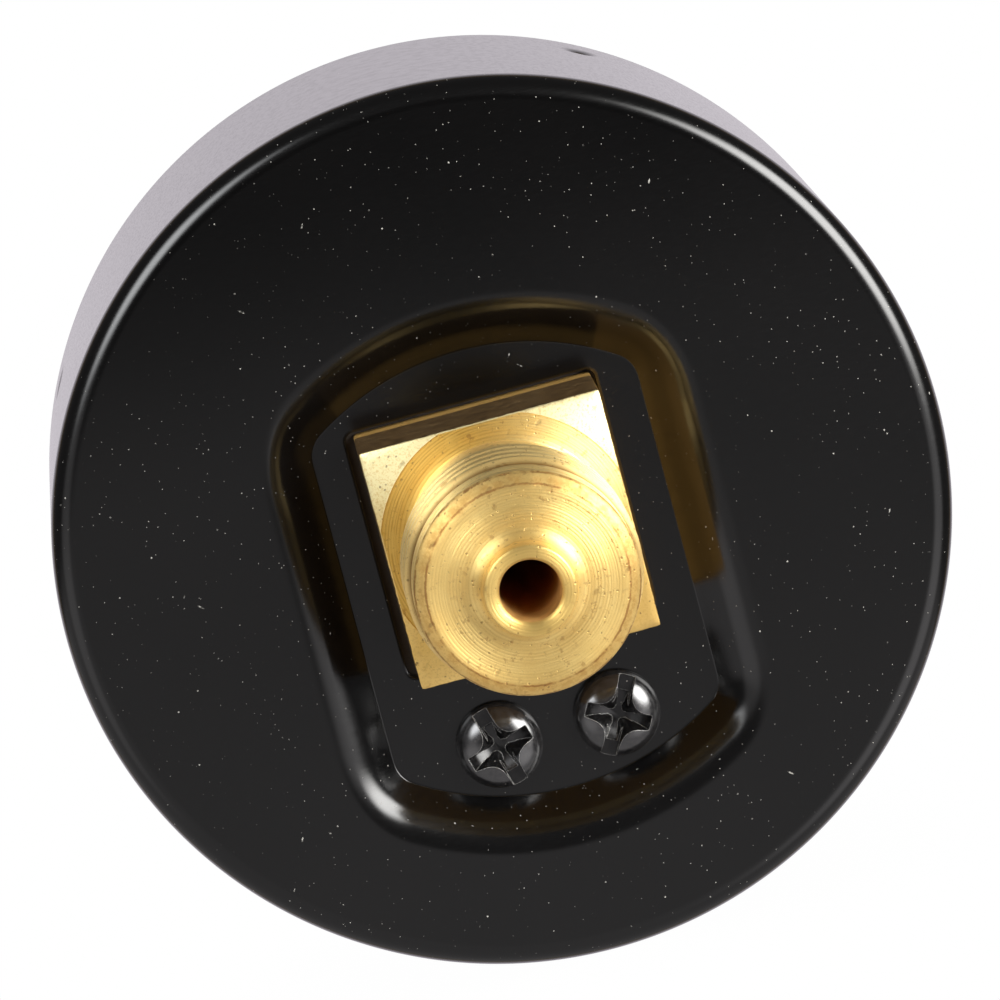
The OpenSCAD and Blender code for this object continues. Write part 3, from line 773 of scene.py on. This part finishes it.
def pocket_side(angle, offset):
    """(inset, z) of the pocket's side from floor to back, moved offset along its normal."""
    r = CREASE_R + offset
    floor_bend = [(INSET_FLOOR - r * math.sin(a), Z_FLOOR - CREASE_R + r * math.cos(a))
                  for a in (angle * i / 6 for i in range(7))]
    r = BEND_R - offset
    back_bend = [(INSET_BACK + r * math.sin(a), Z_BACK + BEND_R - r * math.cos(a))
                 for a in (angle * (1 - i / 20) for i in range(21))]
    (t0, z0), (t1, z1) = floor_bend[-1], back_bend[0]
    straight = [(t0 + (t1 - t0) * i / 4, z0 + (z1 - z0) * i / 4) for i in range(1, 4)]
    return floor_bend + straight + back_bend


def case_wall(radius, z, push=0.0, spread=0.638):
    """Ring of the case wall, pushed in by the four dimples."""
    angles = np.arange(CASE_N) * TAU / CASE_N
    depth = np.zeros(CASE_N)
    for k in range(4):
        away = angles - math.radians(DIMPLE_ANGLE + 90 * k)
        away = (away + math.pi) % TAU - math.pi
        distance2 = (away * CASE_R) ** 2 + (z - DIMPLE_Z) ** 2
        depth = np.maximum(depth, DIMPLE_DEPTH * np.exp(-distance2 / spread ** 2))
    r = radius - depth * push
    return np.column_stack([r * np.cos(angles), r * np.sin(angles), np.full(CASE_N, z)])


def case():
    """One closed skin: hole, pocket and back outside, then wall, rim and the inside again."""
    def hole_outline(grow, corner):
        half = HOLE_HALF + grow
        return rect(CASE_N, HOLE_X, HOLE_Y, half, half, corner)

    # growth of the hole, corner radius, z
    hole_edge = ((0.0, 0.55, Z_IN - 0.06), (0.0, 0.55, Z_FLOOR + 0.10),
                 (0.02, 0.56, Z_FLOOR + 0.03), (0.09, 0.62, Z_FLOOR))
    rings = [ring_at(hole_outline(grow, corner), z) for grow, corner, z in hole_edge]
    hole = hole_outline(0.0, 0.55)
    edge = hole_outline(0.2, 0.7)
    crease = pocket(INSET_FLOOR + 0.10)
    for s in (0.0, 0.3, 0.6, 0.9, 1.0):
        rings.append(ring_at(between(edge, crease, s), Z_FLOOR))
    angle = pocket_angle()
    for inset, z in pocket_side(angle, 0.0):
        rings.append(ring_at(pocket(inset), z))
    shoulder = pocket(INSET_BACK - 0.15)
    rings.append(ring_at(shoulder, Z_BACK))
    flat = circle(CASE_R - EDGE_R - 0.08, CASE_N)
    for s in (0.25, 0.5, 0.75, 1.0):
        rings.append(ring_at(between(shoulder, flat, s), Z_BACK))

    for i in range(19):
        a = math.pi / 2 * i / 18
        rings.append(case_wall(CASE_R - EDGE_R + EDGE_R * math.sin(a),
                               Z_BACK + EDGE_R - EDGE_R * math.cos(a)))
    wall_z = [Z_BACK + EDGE_R + 0.1, 9.0, 13.0, 17.0, DIMPLE_Z - 2.3]
    wall_z += list(np.linspace(DIMPLE_Z - 1.9, DIMPLE_Z + 1.9, 27))
    wall_z += [DIMPLE_Z + 2.4, Z_RIM - 0.25]
    for z in wall_z:
        rings.append(case_wall(CASE_R, z, push=1.0))
    for i in range(6):
        a = math.pi / 2 * i / 5
        rings.append(case_wall(CASE_R - LIP_R + LIP_R * math.cos(a),
                               Z_RIM - LIP_R + LIP_R * math.sin(a)))
    for i in range(6):
        a = math.pi / 2 * (1 - i / 5)
        rings.append(case_wall(CASE_IN + LIP_R - LIP_R * math.cos(a),
                               Z_RIM - LIP_R + LIP_R * math.sin(a)))
    for z in wall_z[::-1]:
        rings.append(case_wall(CASE_IN, z, push=0.9, spread=0.748))
    for i in range(8):
        a = math.pi / 2 * (1 - i / 7)
        r = EDGE_R - WALL
        rings.append(case_wall(CASE_R - EDGE_R + r * math.sin(a),
                               Z_BACK + EDGE_R - r * math.cos(a)))
    for s in (0.3, 0.7, 1.0):
        rings.append(ring_at(between(flat, shoulder, s), Z_BACK + WALL))
    for inset, z in pocket_side(angle, WALL)[::-1]:
        rings.append(ring_at(pocket(inset), z))
    for s in (0.0, 0.5, 1.0):
        rings.append(ring_at(between(crease, hole, s), Z_IN))
    o = make("case_shell", loft(rings, closed=True), [ENAMEL])
    for side in (-1, 1):
        drill(o, (side * SCREW_X, -SCREW_Y), 1.4, Z_FLOOR - 1, Z_IN + 1, [ENAMEL])
    ride(o, "root", "case")


# ---------------------------------------------------------------- bourdon tube
TUBE_R = 18.3                       # radius of the coil
TUBE_W, TUBE_H, TUBE_T = 1.3, 3.5, 0.35     # half width, half height and wall of the section
TUBE_START, TUBE_END = -5.0, 262.0  # degrees


def tube_section(inset, n=40):
    """Flattened oval: straight sides with full round ends."""
    w, h = TUBE_W - inset, TUBE_H - inset
    points = []
    for i in range(n):
        a = TAU * i / n
        x, y = math.cos(a), math.sin(a)
        straight = math.copysign(h - w, y) * min(1.0, abs(y) / 0.35)
        points.append((x * w, y * w + straight))
    return points


def coil(start, end, steps, inset=0.0):
    """Rings of the tube between two angles in degrees."""
    section = tube_section(inset)
    rings = []
    for i in range(steps + 1):
        a = math.radians(start + (end - start) * i / steps)
        c, s = math.cos(a), math.sin(a)
        rings.append(np.array([((TUBE_R + u) * c, (TUBE_R + u) * s, TUBE_Z + v)
                               for u, v in section]))
    return rings


def bourdon():
    """Hollow tube, coiled from its root to its free end."""
    outside = coil(TUBE_START, TUBE_END, 200)
    inside = coil(TUBE_START, TUBE_END, 200, TUBE_T)[::-1]
    o = make("bourdon_coil", loft(outside + inside, closed=True), [TUBE_BRONZE])
    co = vertex_array(o)
    a = np.degrees(np.arctan2(co[:, 2], co[:, 0]))
    a = np.where(a < -60, a + 360, a)
    ride_between(o,
                 "bourdon_tube")


# ---------------------------------------------------------------- socket
SOCKET_N = 480                      # points round the socket
SOCKET_MATERIALS = [BRASS_STUB, BRASS_SHOULDER, BRASS_THREAD, BRASS_CORNER, BRASS_SKIN,
                    BRASS_BORE, BRASS_BLOCK, BLOCK_PAINTED_SHADE]
ON_STUB, ON_SHOULDER, ON_THREAD, ON_CORNER, ON_SKIN, ON_BORE, ON_BLOCK, ON_PAINTED_SHADE = range(8)
THREAD_PITCH = 25.4 / 19            # 19 turns to the inch
THREAD_END, THREAD_START = -11.54, -5.9     # z of its outer end and of its run-out
ROOT_R = 6.02
TURNED_R = 7.27                     # radius the shoulder face is turned to
BOSS_SHARP = 38                     # degrees


def wobble(seed, octaves, amplitude):
    """Smooth closed random curve, the same each run."""
    rng = np.random.RandomState(seed)
    a = np.arange(SOCKET_N) * TAU / SOCKET_N
    out = np.zeros(SOCKET_N)
    for k in octaves:
        wave = rng.uniform(-1, 1) * np.cos(k * a + rng.uniform(0, TAU))
        out += wave / math.sqrt(len(octaves))
    return out * amplitude


def shoulder_z(r):
    """The corners stand a little proud of the turned face and fall away outwards."""
    step = np.clip((r - TURNED_R) / 0.05, 0, 1)
    return -step * 0.045 + np.maximum(r - 7.32, 0) * 0.05


def socket_rings():
    """Rings and their material indices, from the bore over the stub to the inner block."""
    angles = np.arange(SOCKET_N) * TAU / SOCKET_N
    c, s = np.cos(angles), np.sin(angles)
    square = SQUARE / (np.abs(c) ** 130 + np.abs(s) ** 130) ** (1 / 130.0)
    rings, bands = [], []

    def add(band, *stations):
        """Stations of (radius, z), each one value or one per point."""
        for r, z in stations:
            r = np.broadcast_to(np.asarray(r, float), (SOCKET_N,))
            rings.append(ring_at(np.column_stack([r * c, r * s]), z))
            bands.append(band)

    add(ON_BORE, *((BORE_R, z) for z in (10.4, 6.0, 0.0, -6.0, -11.0, -14.5, Z_END + 0.24)))
    # mouth of the bore and end of the spigot
    add(ON_STUB,
        (BORE_R + 0.02, Z_END + 0.16), (BORE_R + 0.14, Z_END + 0.04),
        (BORE_R + 0.20, Z_END), (SPIGOT_R - 0.22, Z_END),
        (SPIGOT_R - 0.14, Z_END + 0.01), (SPIGOT_R - 0.05, Z_END + 0.06),
        (SPIGOT_R, Z_END + 0.18))
    # cove between spigot and end face
    for i in range(13):
        a = math.pi - math.pi / 2 * i / 12
        add(ON_STUB, (SPIGOT_R + COVE_R + COVE_R * math.cos(a),
                      -STUB - COVE_R + COVE_R * math.sin(a)))
    # end face with a faint step, then its ragged chamfer
    ragged = wobble(5, range(3, 40), 0.035)
    add(ON_STUB,
        (3.6, -STUB), (4.36, -STUB), (4.40, -STUB + 0.012), (5.2, -STUB + 0.014),
        (FACE_R - 0.10 + ragged, -STUB + 0.015),
        (FACE_R + 0.02 + ragged * 0.7, -STUB + 0.06),
        (FACE_R + 0.25 + ragged * 0.4, -STUB + 0.21),
        (LEAD_R - 0.10, -STUB + 0.46), (LEAD_R - 0.02, -STUB + 0.58),
        (LEAD_R, -STUB + 0.70))
    # plain lead, with a shallow ring near its end
    add(ON_THREAD,
        (LEAD_R, -STUB + 0.72), (LEAD_R, -STUB + 1.30),
        (LEAD_R - 0.025, -STUB + 1.35), (LEAD_R - 0.025, -STUB + 1.47),
        (LEAD_R, -STUB + 1.52), (LEAD_R, -11.66), (LEAD_R - 0.02, -11.60))
    # thread: flat crests over narrow roots, fading into the relief
    z = THREAD_END
    while z < THREAD_START:
        phase = (z / THREAD_PITCH + angles / TAU) % 1.0
        rise = np.clip((np.abs(phase * 2 - 1) - 0.05) / 0.42, 0, 1)
        profile = rise * rise * (3 - 2 * rise) * 0.5 + rise * 0.5
        crest = min(THREAD_R, LEAD_R + 0.34 * clamp01((z - THREAD_END) / 0.35))
        fade = clamp01((THREAD_START - z) / 0.6)
        root = ROOT_R * fade + RELIEF_R * (1 - fade)
        top = crest * fade + RELIEF_R * (1 - fade)
        add(ON_THREAD, (root + (top - root) * profile, z))
        z += THREAD_PITCH / 18
    add(ON_THREAD, *((RELIEF_R, z) for z in (-5.85, -4.0, -2.0, -0.22)))
    # shoulder face
    turned = np.minimum(TURNED_R, square - 0.10)
    add(ON_SHOULDER, (RELIEF_R + 0.03, -0.06), (RELIEF_R + 0.12, 0.0), (6.2, 0.0),
        (6.85, 0.0), (turned, shoulder_z(turned)))
    # corners of the square
    corner = np.minimum(7.32, square - 0.09)
    add(ON_CORNER, (corner, shoulder_z(corner)))
    for share in (0.35, 0.7, 1.0):
        r = corner + (square - 0.075 - corner) * share
        add(ON_CORNER, (r, shoulder_z(r)))
    # burred edge and sides of the square
    burr = wobble(11, range(5, 90), 0.02)
    edge_z = shoulder_z(square - 0.075)
    add(ON_CORNER, (square - 0.045 + burr * 0.5, edge_z + 0.012))
    add(ON_SKIN, (square - 0.012 + burr, edge_z + 0.05 + np.abs(burr)),
        (square + burr * 0.4, edge_z + 0.12))
    for z in (1.2, 2.4, 3.6, 4.8, 5.8, 6.8):
        add(ON_SKIN, (square + wobble(int(z * 10), range(4, 60), 0.006), z))
    # the block's front face in the gap round the square takes the painted shade
    add(ON_PAINTED_SHADE, (square, Z_IN - 0.02))
    # block inside the case: (growth of the outline, z)
    for grow, z in ((-0.22, Z_IN), (-0.06, Z_IN + 0.06), (0.0, Z_IN + 0.22),
                    (0.0, Z_BLOCK - 0.22), (-0.06, Z_BLOCK - 0.06), (-0.22, Z_BLOCK)):
        outline = rect(SOCKET_N, 0.0, -3.25, 8.2 + grow, 11.25 + grow, 0.35, 0.2)
        rings.append(ring_at(outline, z))
        bands.append(ON_BLOCK)
    return rings, bands


def tube_boss():
    """Boss that holds the root of the tube."""
    x0, x1 = TUBE_R * math.cos(math.radians(255)), 3.5
    rings = []
    # growth of the outline, z from the tube's middle
    for grow, z in ((-0.2, -4.7), (-0.06, -4.64), (0.0, -4.5),
                    (0.0, 4.5), (-0.06, 4.64), (-0.2, 4.7)):
        outline = rect(96, (x0 + x1) / 2, -17.7, (x1 - x0) / 2 + grow, 3.6 + grow, 0.3)
        rings.append(ring_at(outline, TUBE_Z + z))
    return loft(rings, caps=True, bands=ON_BLOCK)


def socket():
    rings, bands = socket_rings()
    o = make("socket_body", loft(rings, caps=True, bands=bands), SOCKET_MATERIALS,
             sharp=BOSS_SHARP)
    combine(o, make("boss", tube_boss(), SOCKET_MATERIALS), "UNION", BOSS_SHARP)
    seat = loft(coil(249.0, 268.0, 12), caps=True, bands=ON_BLOCK)
    combine(o, make("coil", seat, SOCKET_MATERIALS), sharp=BOSS_SHARP)
    # case screw holes right through, then two blind holes in the front:
    # centre, radius, back z, sides
    for centre, radius, z0, sides in (
            ((-SCREW_X, -SCREW_Y), 1.25, Z_IN - 1, 64), ((SCREW_X, -SCREW_Y), 1.25, Z_IN - 1, 64),
            ((-6, -9.5), 0.8, Z_BLOCK - 3, 48), ((6.5, 5.5), 0.8, Z_BLOCK - 3, 48)):
        drill(o, centre, radius, z0, Z_BLOCK + 1, SOCKET_MATERIALS, sides, ON_BLOCK,
              BOSS_SHARP)
    ride(o, "root", "socket")


# ---------------------------------------------------------------- hairspring
SPRING_TURNS, SPRING_R0, SPRING_R1 = 3.5, 1.6, 5.6
SPRING_STUD = 215.0                 # degrees, where the outer end is held
SPRING_T = 0.06                     # half the strip's thickness
SPRING_EDGE = 0.02


def hairspring():
    """Flat spiral strip."""
    t, e = SPRING_T, SPRING_EDGE
    # the strip's section: radius from the spiral, z
    section = ((-t, Z_SPRING0 + e), (-t + e, Z_SPRING0), (t - e, Z_SPRING0),
               (t, Z_SPRING0 + e), (t, Z_SPRING1 - e), (t - e, Z_SPRING1),
               (-t + e, Z_SPRING1), (-t, Z_SPRING1 - e))
    steps = 360
    rings = []
    for i in range(steps + 1):
        f = i / steps
        r = SPRING_R0 + (SPRING_R1 - SPRING_R0) * f
        a = math.radians(SPRING_STUD - 360 * SPRING_TURNS * (1 - f))
        c, s = math.cos(a), math.sin(a)
        rings.append(np.array([((r + u) * c, (r + u) * s, z) for u, z in section]))
    o = make("hairspring_coil", loft(rings, caps=True), [SPRING_BRONZE])
    ride_between(o,
                 "hairspring")


# ---------------------------------------------------------------- case screws
SCREW_HEAD_R = 2.5
HEAD_EDGE = 0.32                    # height of the head's straight edge
SLOT_HALF = 0.46
# cross recess: depth below the head's top, arm length, arm half width, blend in the corners
RECESS = ((-0.4, 1.94, 0.46, 1.25), (0.25, 1.88, 0.43, 1.15), (0.62, 1.70, 0.37, 0.95),
          (0.95, 1.34, 0.30, 0.75), (1.2, 0.90, 0.24, 0.5), (1.40, 0.45, 0.16, 0.3))
SHANK_PITCH = 0.5
# the second material is the painted shade copy, for the slot and the recess
SCREW_MATERIALS = [SCREW_BLACK, RECESS_PAINTED_SHADE]


def screw_head(centre):
    r = SCREW_HEAD_R
    profile = [(1.1, 0.0), (r - 0.12, 0.0), (r - 0.03, 0.03), (r, 0.12), (r, HEAD_EDGE)]
    for i in range(1, 19):
        q = math.cos(math.pi / 2 * i / 18) ** 0.75 * r
        dome = (1 - (q / r) ** 2.7) ** (1 / 2.0)
        profile.append((q, HEAD_EDGE + (HEAD_H - HEAD_EDGE) * dome))
    profile = [(max(q, 0.02), Z_FLOOR - height) for q, height in profile]
    return make("head", lathe(profile, 128, centre), SCREW_MATERIALS)


def screw_shank(centre):
    z = Z_FLOOR - 0.02
    rings = []
    angles = np.arange(48) * TAU / 48
    while z < Z_FLOOR + 4.2:
        phase = np.abs(((z / SHANK_PITCH - angles / TAU) % 1.0) * 2 - 1)
        fade = min(1.0, (Z_FLOOR + 4.3 - z) / 0.6)
        r = 1.0 + 0.2 * np.clip((phase - 0.12) / 0.7, 0, 1) * fade
        points = np.column_stack([centre[0] + r * np.cos(angles),
                                  centre[1] + r * np.sin(angles)])
        rings.append(ring_at(points, z))
        z += SHANK_PITCH / 10
    return make("shank", loft(rings, caps=True), SCREW_MATERIALS)


def case_screw(centre, turn):
    """Domed screw with a slot right across and a flared cross recess, turned in degrees."""
    head = screw_head(centre)
    a = math.radians(turn)
    c, s = math.cos(a), math.sin(a)
    corners = [(-3, -SLOT_HALF), (3, -SLOT_HALF), (3, SLOT_HALF), (-3, SLOT_HALF)]
    outline = [(centre[0] + x * c - y * s, centre[1] + x * s + y * c) for x, y in corners]
    vertices, faces = prism(outline, Z_FLOOR - HEAD_H - 1, Z_FLOOR - 0.72)
    slot = (vertices, faces, [1] * len(faces))
    combine(head, make("slot", slot, SCREW_MATERIALS, weld=False))

    rings = []
    for depth, arm, width, soft in RECESS:
        def cross(x, y, arm=arm * 1.05, width=width * 1.08, soft=soft):
            x, y = x - centre[0], y - centre[1]
            p, q = np.abs(x * c + y * s), np.abs(-x * s + y * c)
            return smin(np.maximum(p - arm, q - width), np.maximum(q - arm, p - width), soft)
        rings.append(ring_at(radial(cross, 240, centre, 3.0), Z_FLOOR - HEAD_H + depth))
    combine(head, make("recess", loft(rings, caps=True, bands=1), SCREW_MATERIALS))
    combine(head, screw_shank(centre), "UNION", 30)
    return head


def screws():
    """Both screws, joined in one object."""
    pair = case_screw((SCREW_X, -SCREW_Y), turn=74.0)
    other = case_screw((-SCREW_X, -SCREW_Y), turn=118.0)
    bm = bmesh.new()
    bm.from_mesh(pair.data)
    bm.from_mesh(other.data)
    bm.to_mesh(pair.data)
    bm.free()
    bpy.data.objects.remove(other)
    pair.name = "case_screws_pair"
    shade(pair, 30)
    ride(pair, "root", "case_screws")


# ---------------------------------------------------------------- dial and scale
SCALE_START = 225                   # degrees at zero
SCALE_STEP = 5.4                    # degrees between ticks
NUMERAL_STEP = 54                   # degrees between numerals
TICK_OUT = 22.3
# inner end and half width of the ticks at tens, fives and ones
TICK_TEN, TICK_FIVE, TICK_ONE = (18.9, 0.22), (20.0, 0.15), (20.9, 0.085)


def polar(r, degrees):
    return r * math.cos(math.radians(degrees)), r * math.sin(math.radians(degrees))


def dial_plate():
    # radius, z
    profile = ((2.3, Z_DIAL_TOP - 0.04), (2.34, Z_DIAL_TOP), (24.1, Z_DIAL_TOP),
               (24.17, Z_DIAL_TOP - 0.03), (24.2, Z_DIAL_TOP - 0.10), (24.2, Z_DIAL + 0.04),
               (24.16, Z_DIAL), (2.3, Z_DIAL))
    rings = [ring_at(circle(r, 288), z) for r, z in profile]
    o = make("dial_plate", loft(rings, closed=True), [DIAL_WHITE])
    # centre, radius, sides
    for centre, radius, sides in (((-9.0, 0), 0.8, 64), ((9.0, 0), 0.8, 64),
                                  (polar(15, 228.8), 0.35, 24)):
        drill(o, centre, radius, Z_DIAL - 1, Z_DIAL_TOP + 1, [DIAL_WHITE], sides)
    ride(o, "root", "dial")


def tick(degrees, r_in, half):
    """Corners of a radial bar."""
    c, s = polar(1, degrees)
    return [(r * c + w * s, r * s - w * c)
            for r, w in ((r_in, half), (TICK_OUT, half), (TICK_OUT, -half), (r_in, -half))]


def dial_scale():
    """Printed ticks and arc, as a film about 0.02 mm thick."""
    outlines = []
    for i in range(51):
        size = TICK_TEN if i % 10 == 0 else TICK_FIVE if i % 5 == 0 else TICK_ONE
        outlines.append(tick(SCALE_START - SCALE_STEP * i, *size))
    for i in range(90):
        a0, a1 = SCALE_START - 3.0 * i, SCALE_START - 3.0 * (i + 1)
        bend = (a0, (a0 + a1) / 2, a1)
        outlines.append([polar(22.42, a) for a in bend] + [polar(22.20, a) for a in bend[::-1]])
    vertices, faces = [], []
    for outline in outlines:
        points, sides = prism(outline, Z_DIAL_TOP + 0.001, Z_DIAL_TOP + 0.022)
        faces += [[len(vertices) + k for k in face] for face in sides]
        vertices += points
    o = make("dial_scale", (vertices, faces, [0] * len(faces)), [DIAL_INK], weld=False)
    ride(o, "root")


def numeral(word, radius, degrees):
    curve = bpy.data.curves.new("numeral_" + word, "FONT")
    curve.body = word
    curve.size = 4.3 * MM
    curve.align_x = "CENTER"
    curve.align_y = "CENTER"
    curve.extrude = 0.010 * MM
    curve.offset = 0.05 * MM
    text = link_object("tmp", curve)
    x, z = polar(radius, degrees)
    place = Matrix.Translation((x * MM, -(Z_DIAL_TOP + 0.012) * MM, z * MM))
    text.matrix_world = place @ Matrix.Rotation(math.pi / 2, 4, "X")
    mesh = evaluated_mesh(text)
    mesh.transform(text.matrix_world)
    bpy.data.objects.remove(text)
    mesh.materials.clear()
    mesh.materials.append(DIAL_INK)
    ride(link_object("numeral_" + word, mesh), "root")


def dial():
    dial_plate()
    dial_scale()
    for i, word in enumerate(("0", "2", "4", "6", "8", "10")):
        numeral(word, 15.0 if word == "10" else 15.6, SCALE_START - NUMERAL_STEP * i)


# ---------------------------------------------------------------- pointer
POINTER_TIP, POINTER_TAIL = 19.0, 6.8   # reach from the axis
POINTER_DISC, POINTER_HOLE = 2.1, 1.2   # radii


def pointer():
    """Black blanked plate at zero: tapered blade, counterweight tail and centre disc."""
    c, s = polar(1, SCALE_START)

    def shape(x, y):
        p, q = x * c + y * s, -x * s + y * c
        blade_half = np.interp(p, [0, 16, 19], [0.95, 0.45, 0.11])
        tail_half = np.interp(-p, [0, 6.1, 6.8], [0.95, 1.28, 1.05])
        half = np.where(p > 0, blade_half, tail_half)
        ends = np.maximum(p - POINTER_TIP, -p - POINTER_TAIL)
        bar = np.maximum(np.abs(q) - half, ends)
        return smin(bar, np.hypot(p, q) - POINTER_DISC, 0.5)

    n = 1440
    outline = radial(shape, n, (0.0, 0.0), 30.0)
    reach = np.maximum(np.hypot(outline[:, 0], outline[:, 1]), 1e-6)
    inner = outline * (1 - 0.05 / reach)[:, None]
    hole, collar = circle(POINTER_HOLE, n), circle(1.6, n)
    rings = [ring_at(points, z) for points, z in (
        (hole, Z_POINTER1), (collar, Z_POINTER1), (inner, Z_POINTER1),
        (outline, Z_POINTER1 - 0.06), (outline, Z_POINTER0), (collar, Z_POINTER0),
        (hole, Z_POINTER0))]
    o = make("pointer_blade", loft(rings, closed=True), [POINTER_BLACK], sharp=30)
    ride(o, "pointer_shaft", "pointer")


case()
socket()
bourdon()
hairspring()
screws()
dial()
pointer()

# ---------------------------------------------------------------- carried-over CAD pieces
FINISHES = (
    (CLEAR, ("window",)),
    (STEEL, ("dial_screws", "stop_pin", "tip_screw", "link_rivet", "sector_arbor", "pinion",
             "pillar_screws", "movement_screws", "link")),
    (BRASS, ("dial_posts", "pointer_hub", "tube_tip", "sector_gear", "hairspring_collet",
             "hairspring_stud", "bottom_plate", "top_plate", "pillars")),
)
for material, pieces in FINISHES:
    for piece in pieces:
        o = nodes[piece]
        if not o.material_slots:
            o.data.materials.append(material)
        for material_slot in o.material_slots:
            material_slot.material = material


# ---------------------------------------------------------------- floor
def floor():
    """White floor under the case, seen only by the camera and only from above."""
    half, z = 4.0, -CASE_R * MM     # metres
    mesh = bpy.data.meshes.new("floor")
    corners = [(-half, -half, z), (half, -half, z), (half, half, z), (-half, half, z)]
    mesh.from_pydata(corners, [], [[0, 1, 2, 3]])
    tree = Tree(bpy.data.materials.new("floor_white"))
    # faint painted contact shadow: the floor's glow dims a little where the case is near
    open_sky = tree.add("AmbientOcclusion", {"Distance": 0.010}, "AO", samples=4)
    glow = open_sky.ramp(0.0, 0.9, first=0.992, smooth=False)
    white = tree.add("Emission", {"Color": (1.0, 1.0, 1.0, 1.0), "Strength": glow})
    clear = tree.add("BsdfTransparent")
    camera_ray = tree.add("LightPath", out="Is Camera Ray")
    seen = camera_ray * (1.0 - tree.add("NewGeometry", out="Backfacing"))
    shader = tree.add("MixShader", {0: seen, 1: clear, 2: white})
    tree.add("OutputMaterial", {"Surface": shader}, ())
    mesh.materials.append(tree.owner)
    link_object("floor", mesh)


floor()

# ---------------------------------------------------------------- camera
# the camera's own axes and its place in mm, in the row frame
RIGHT = Vector((-0.96485274, 0.06703463, -0.25409751))
UP = Vector((-0.26188242, -0.16492862, 0.95090281))
BACK = Vector((0.02183547, 0.98402485, 0.17668702))
CAMERA_PLACE = (8.70588, 393.3731, 73.0124)


def camera():
    data = bpy.data.cameras.new("camera")
    data.sensor_width = 36.0
    data.lens = 255.714
    data.clip_start, data.clip_end = 0.01, 20.0
    o = link_object("camera", data)
    rows = [(RIGHT[i], UP[i], BACK[i], CAMERA_PLACE[i] * MM) for i in range(3)]
    o.matrix_world = Matrix((*rows, (0, 0, 0, 1)))
    scene.camera = o


camera()


# ---------------------------------------------------------------- light
def aim(direction):
    """World direction of a direction given in the camera's own axes."""
    x, y, z = direction
    return (RIGHT * x + UP * y + BACK * z).normalized()


def softbox(name, direction, distance, size, radiance, core, colour):
    """Square soft box in that direction in camera axes; distance and size in metres.

    Its glow fades outwards from core to 1 of its half size.
    """
    light = bpy.data.lights.new(name, "AREA")
    light.shape = "SQUARE"
    light.size = size
    light.energy = radiance * size * size * math.pi
    light.color = colour
    tree = Tree(light)
    across, along, _ = separate(tree.add("NewGeometry", out="Parametric"))
    across = (across - 0.5) * 2.0
    along = (along - 0.5) * 2.0
    rounded = abs(across).calc("POWER", 3.0) + abs(along).calc("POWER", 3.0)
    rounded = rounded.calc("POWER", 0.3333)
    glow = tree.add("Emission", {"Strength": rounded.fall(core, 1.0)})
    tree.add("OutputLight", {"Surface": glow}, ())
    o = link_object(name, light)
    towards = aim(direction)
    turn = towards.to_track_quat("Z", "Y").to_matrix().to_4x4()
    o.matrix_world = Matrix.Translation(towards * distance) @ turn
    o.visible_camera = False
    return o


softbox("soft_left", direction=(-0.61, 0.28, 0.73), distance=0.7, size=0.56, radiance=10.0,
        core=0.22, colour=(0.97, 0.985, 1.0))
softbox("soft_right", direction=(0.70, 0.33, 0.63), distance=0.7, size=0.66, radiance=18.0,
        core=0.36, colour=(1.0, 0.99, 0.97))
# fill for the dial side, kept out of mirrored and transmitted rays
fill = softbox("fill_front", direction=(-0.25, 0.45, -0.86), distance=0.9, size=0.8,
               radiance=3.6, core=0.3, colour=(1.0, 1.0, 0.99))
fill.visible_glossy = False
fill.visible_transmission = False


def world():
    """White backdrop on the dial side, dim room behind the camera, pale table below."""
    studio = bpy.data.worlds.new("studio")
    scene.world = studio
    tree = Tree(studio)
    ray = tree.add("TexCoord", out="Generated")
    height = ray.vector("DOT_PRODUCT", tuple(UP))
    behind_camera = ray.vector("DOT_PRODUCT", tuple(BACK))
    table = height.ramp(-0.365, -0.262, first=0.58, last=0.13)

    def glow(direction, edge, strength):
        """Soft patch of light round a direction in camera axes; edge is a cosine."""
        near = ray.vector("DOT_PRODUCT", tuple(aim(direction)))
        return near.ramp(edge, 0.985) * strength

    brightness = table + (glow((0.68, -0.36, 0.64), edge=0.88, strength=1.1)
                          + glow((-0.62, -0.38, 0.69), edge=0.90, strength=0.5))
    room = tree.add("VectorMath", {0: (1.0, 0.97, 0.98), "Scale": brightness}, "Vector",
                    operation="SCALE")
    backdrop = behind_camera.fall(-0.72, -0.52)
    warm_border = behind_camera.fall(-0.60, -0.40) * (1.0 - backdrop)
    colour = mix(backdrop, room, (0.96, 0.90, 0.97))
    colour = mix(warm_border * 0.7, colour, (0.42, 0.275, 0.10))
    colour = mix(tree.add("LightPath", out="Is Camera Ray"), colour, (1, 1, 1))
    background = tree.add("Background", {"Color": colour, "Strength": 1.0})
    tree.add("OutputWorld", {"Surface": background}, ())


world()
scene.view_settings.view_transform = "Standard"
scene.view_settings.look = "None"
scene.cycles.max_bounces = 16
scene.cycles.transparent_max_bounces = 16
scene.cycles.transmission_bounces = 12
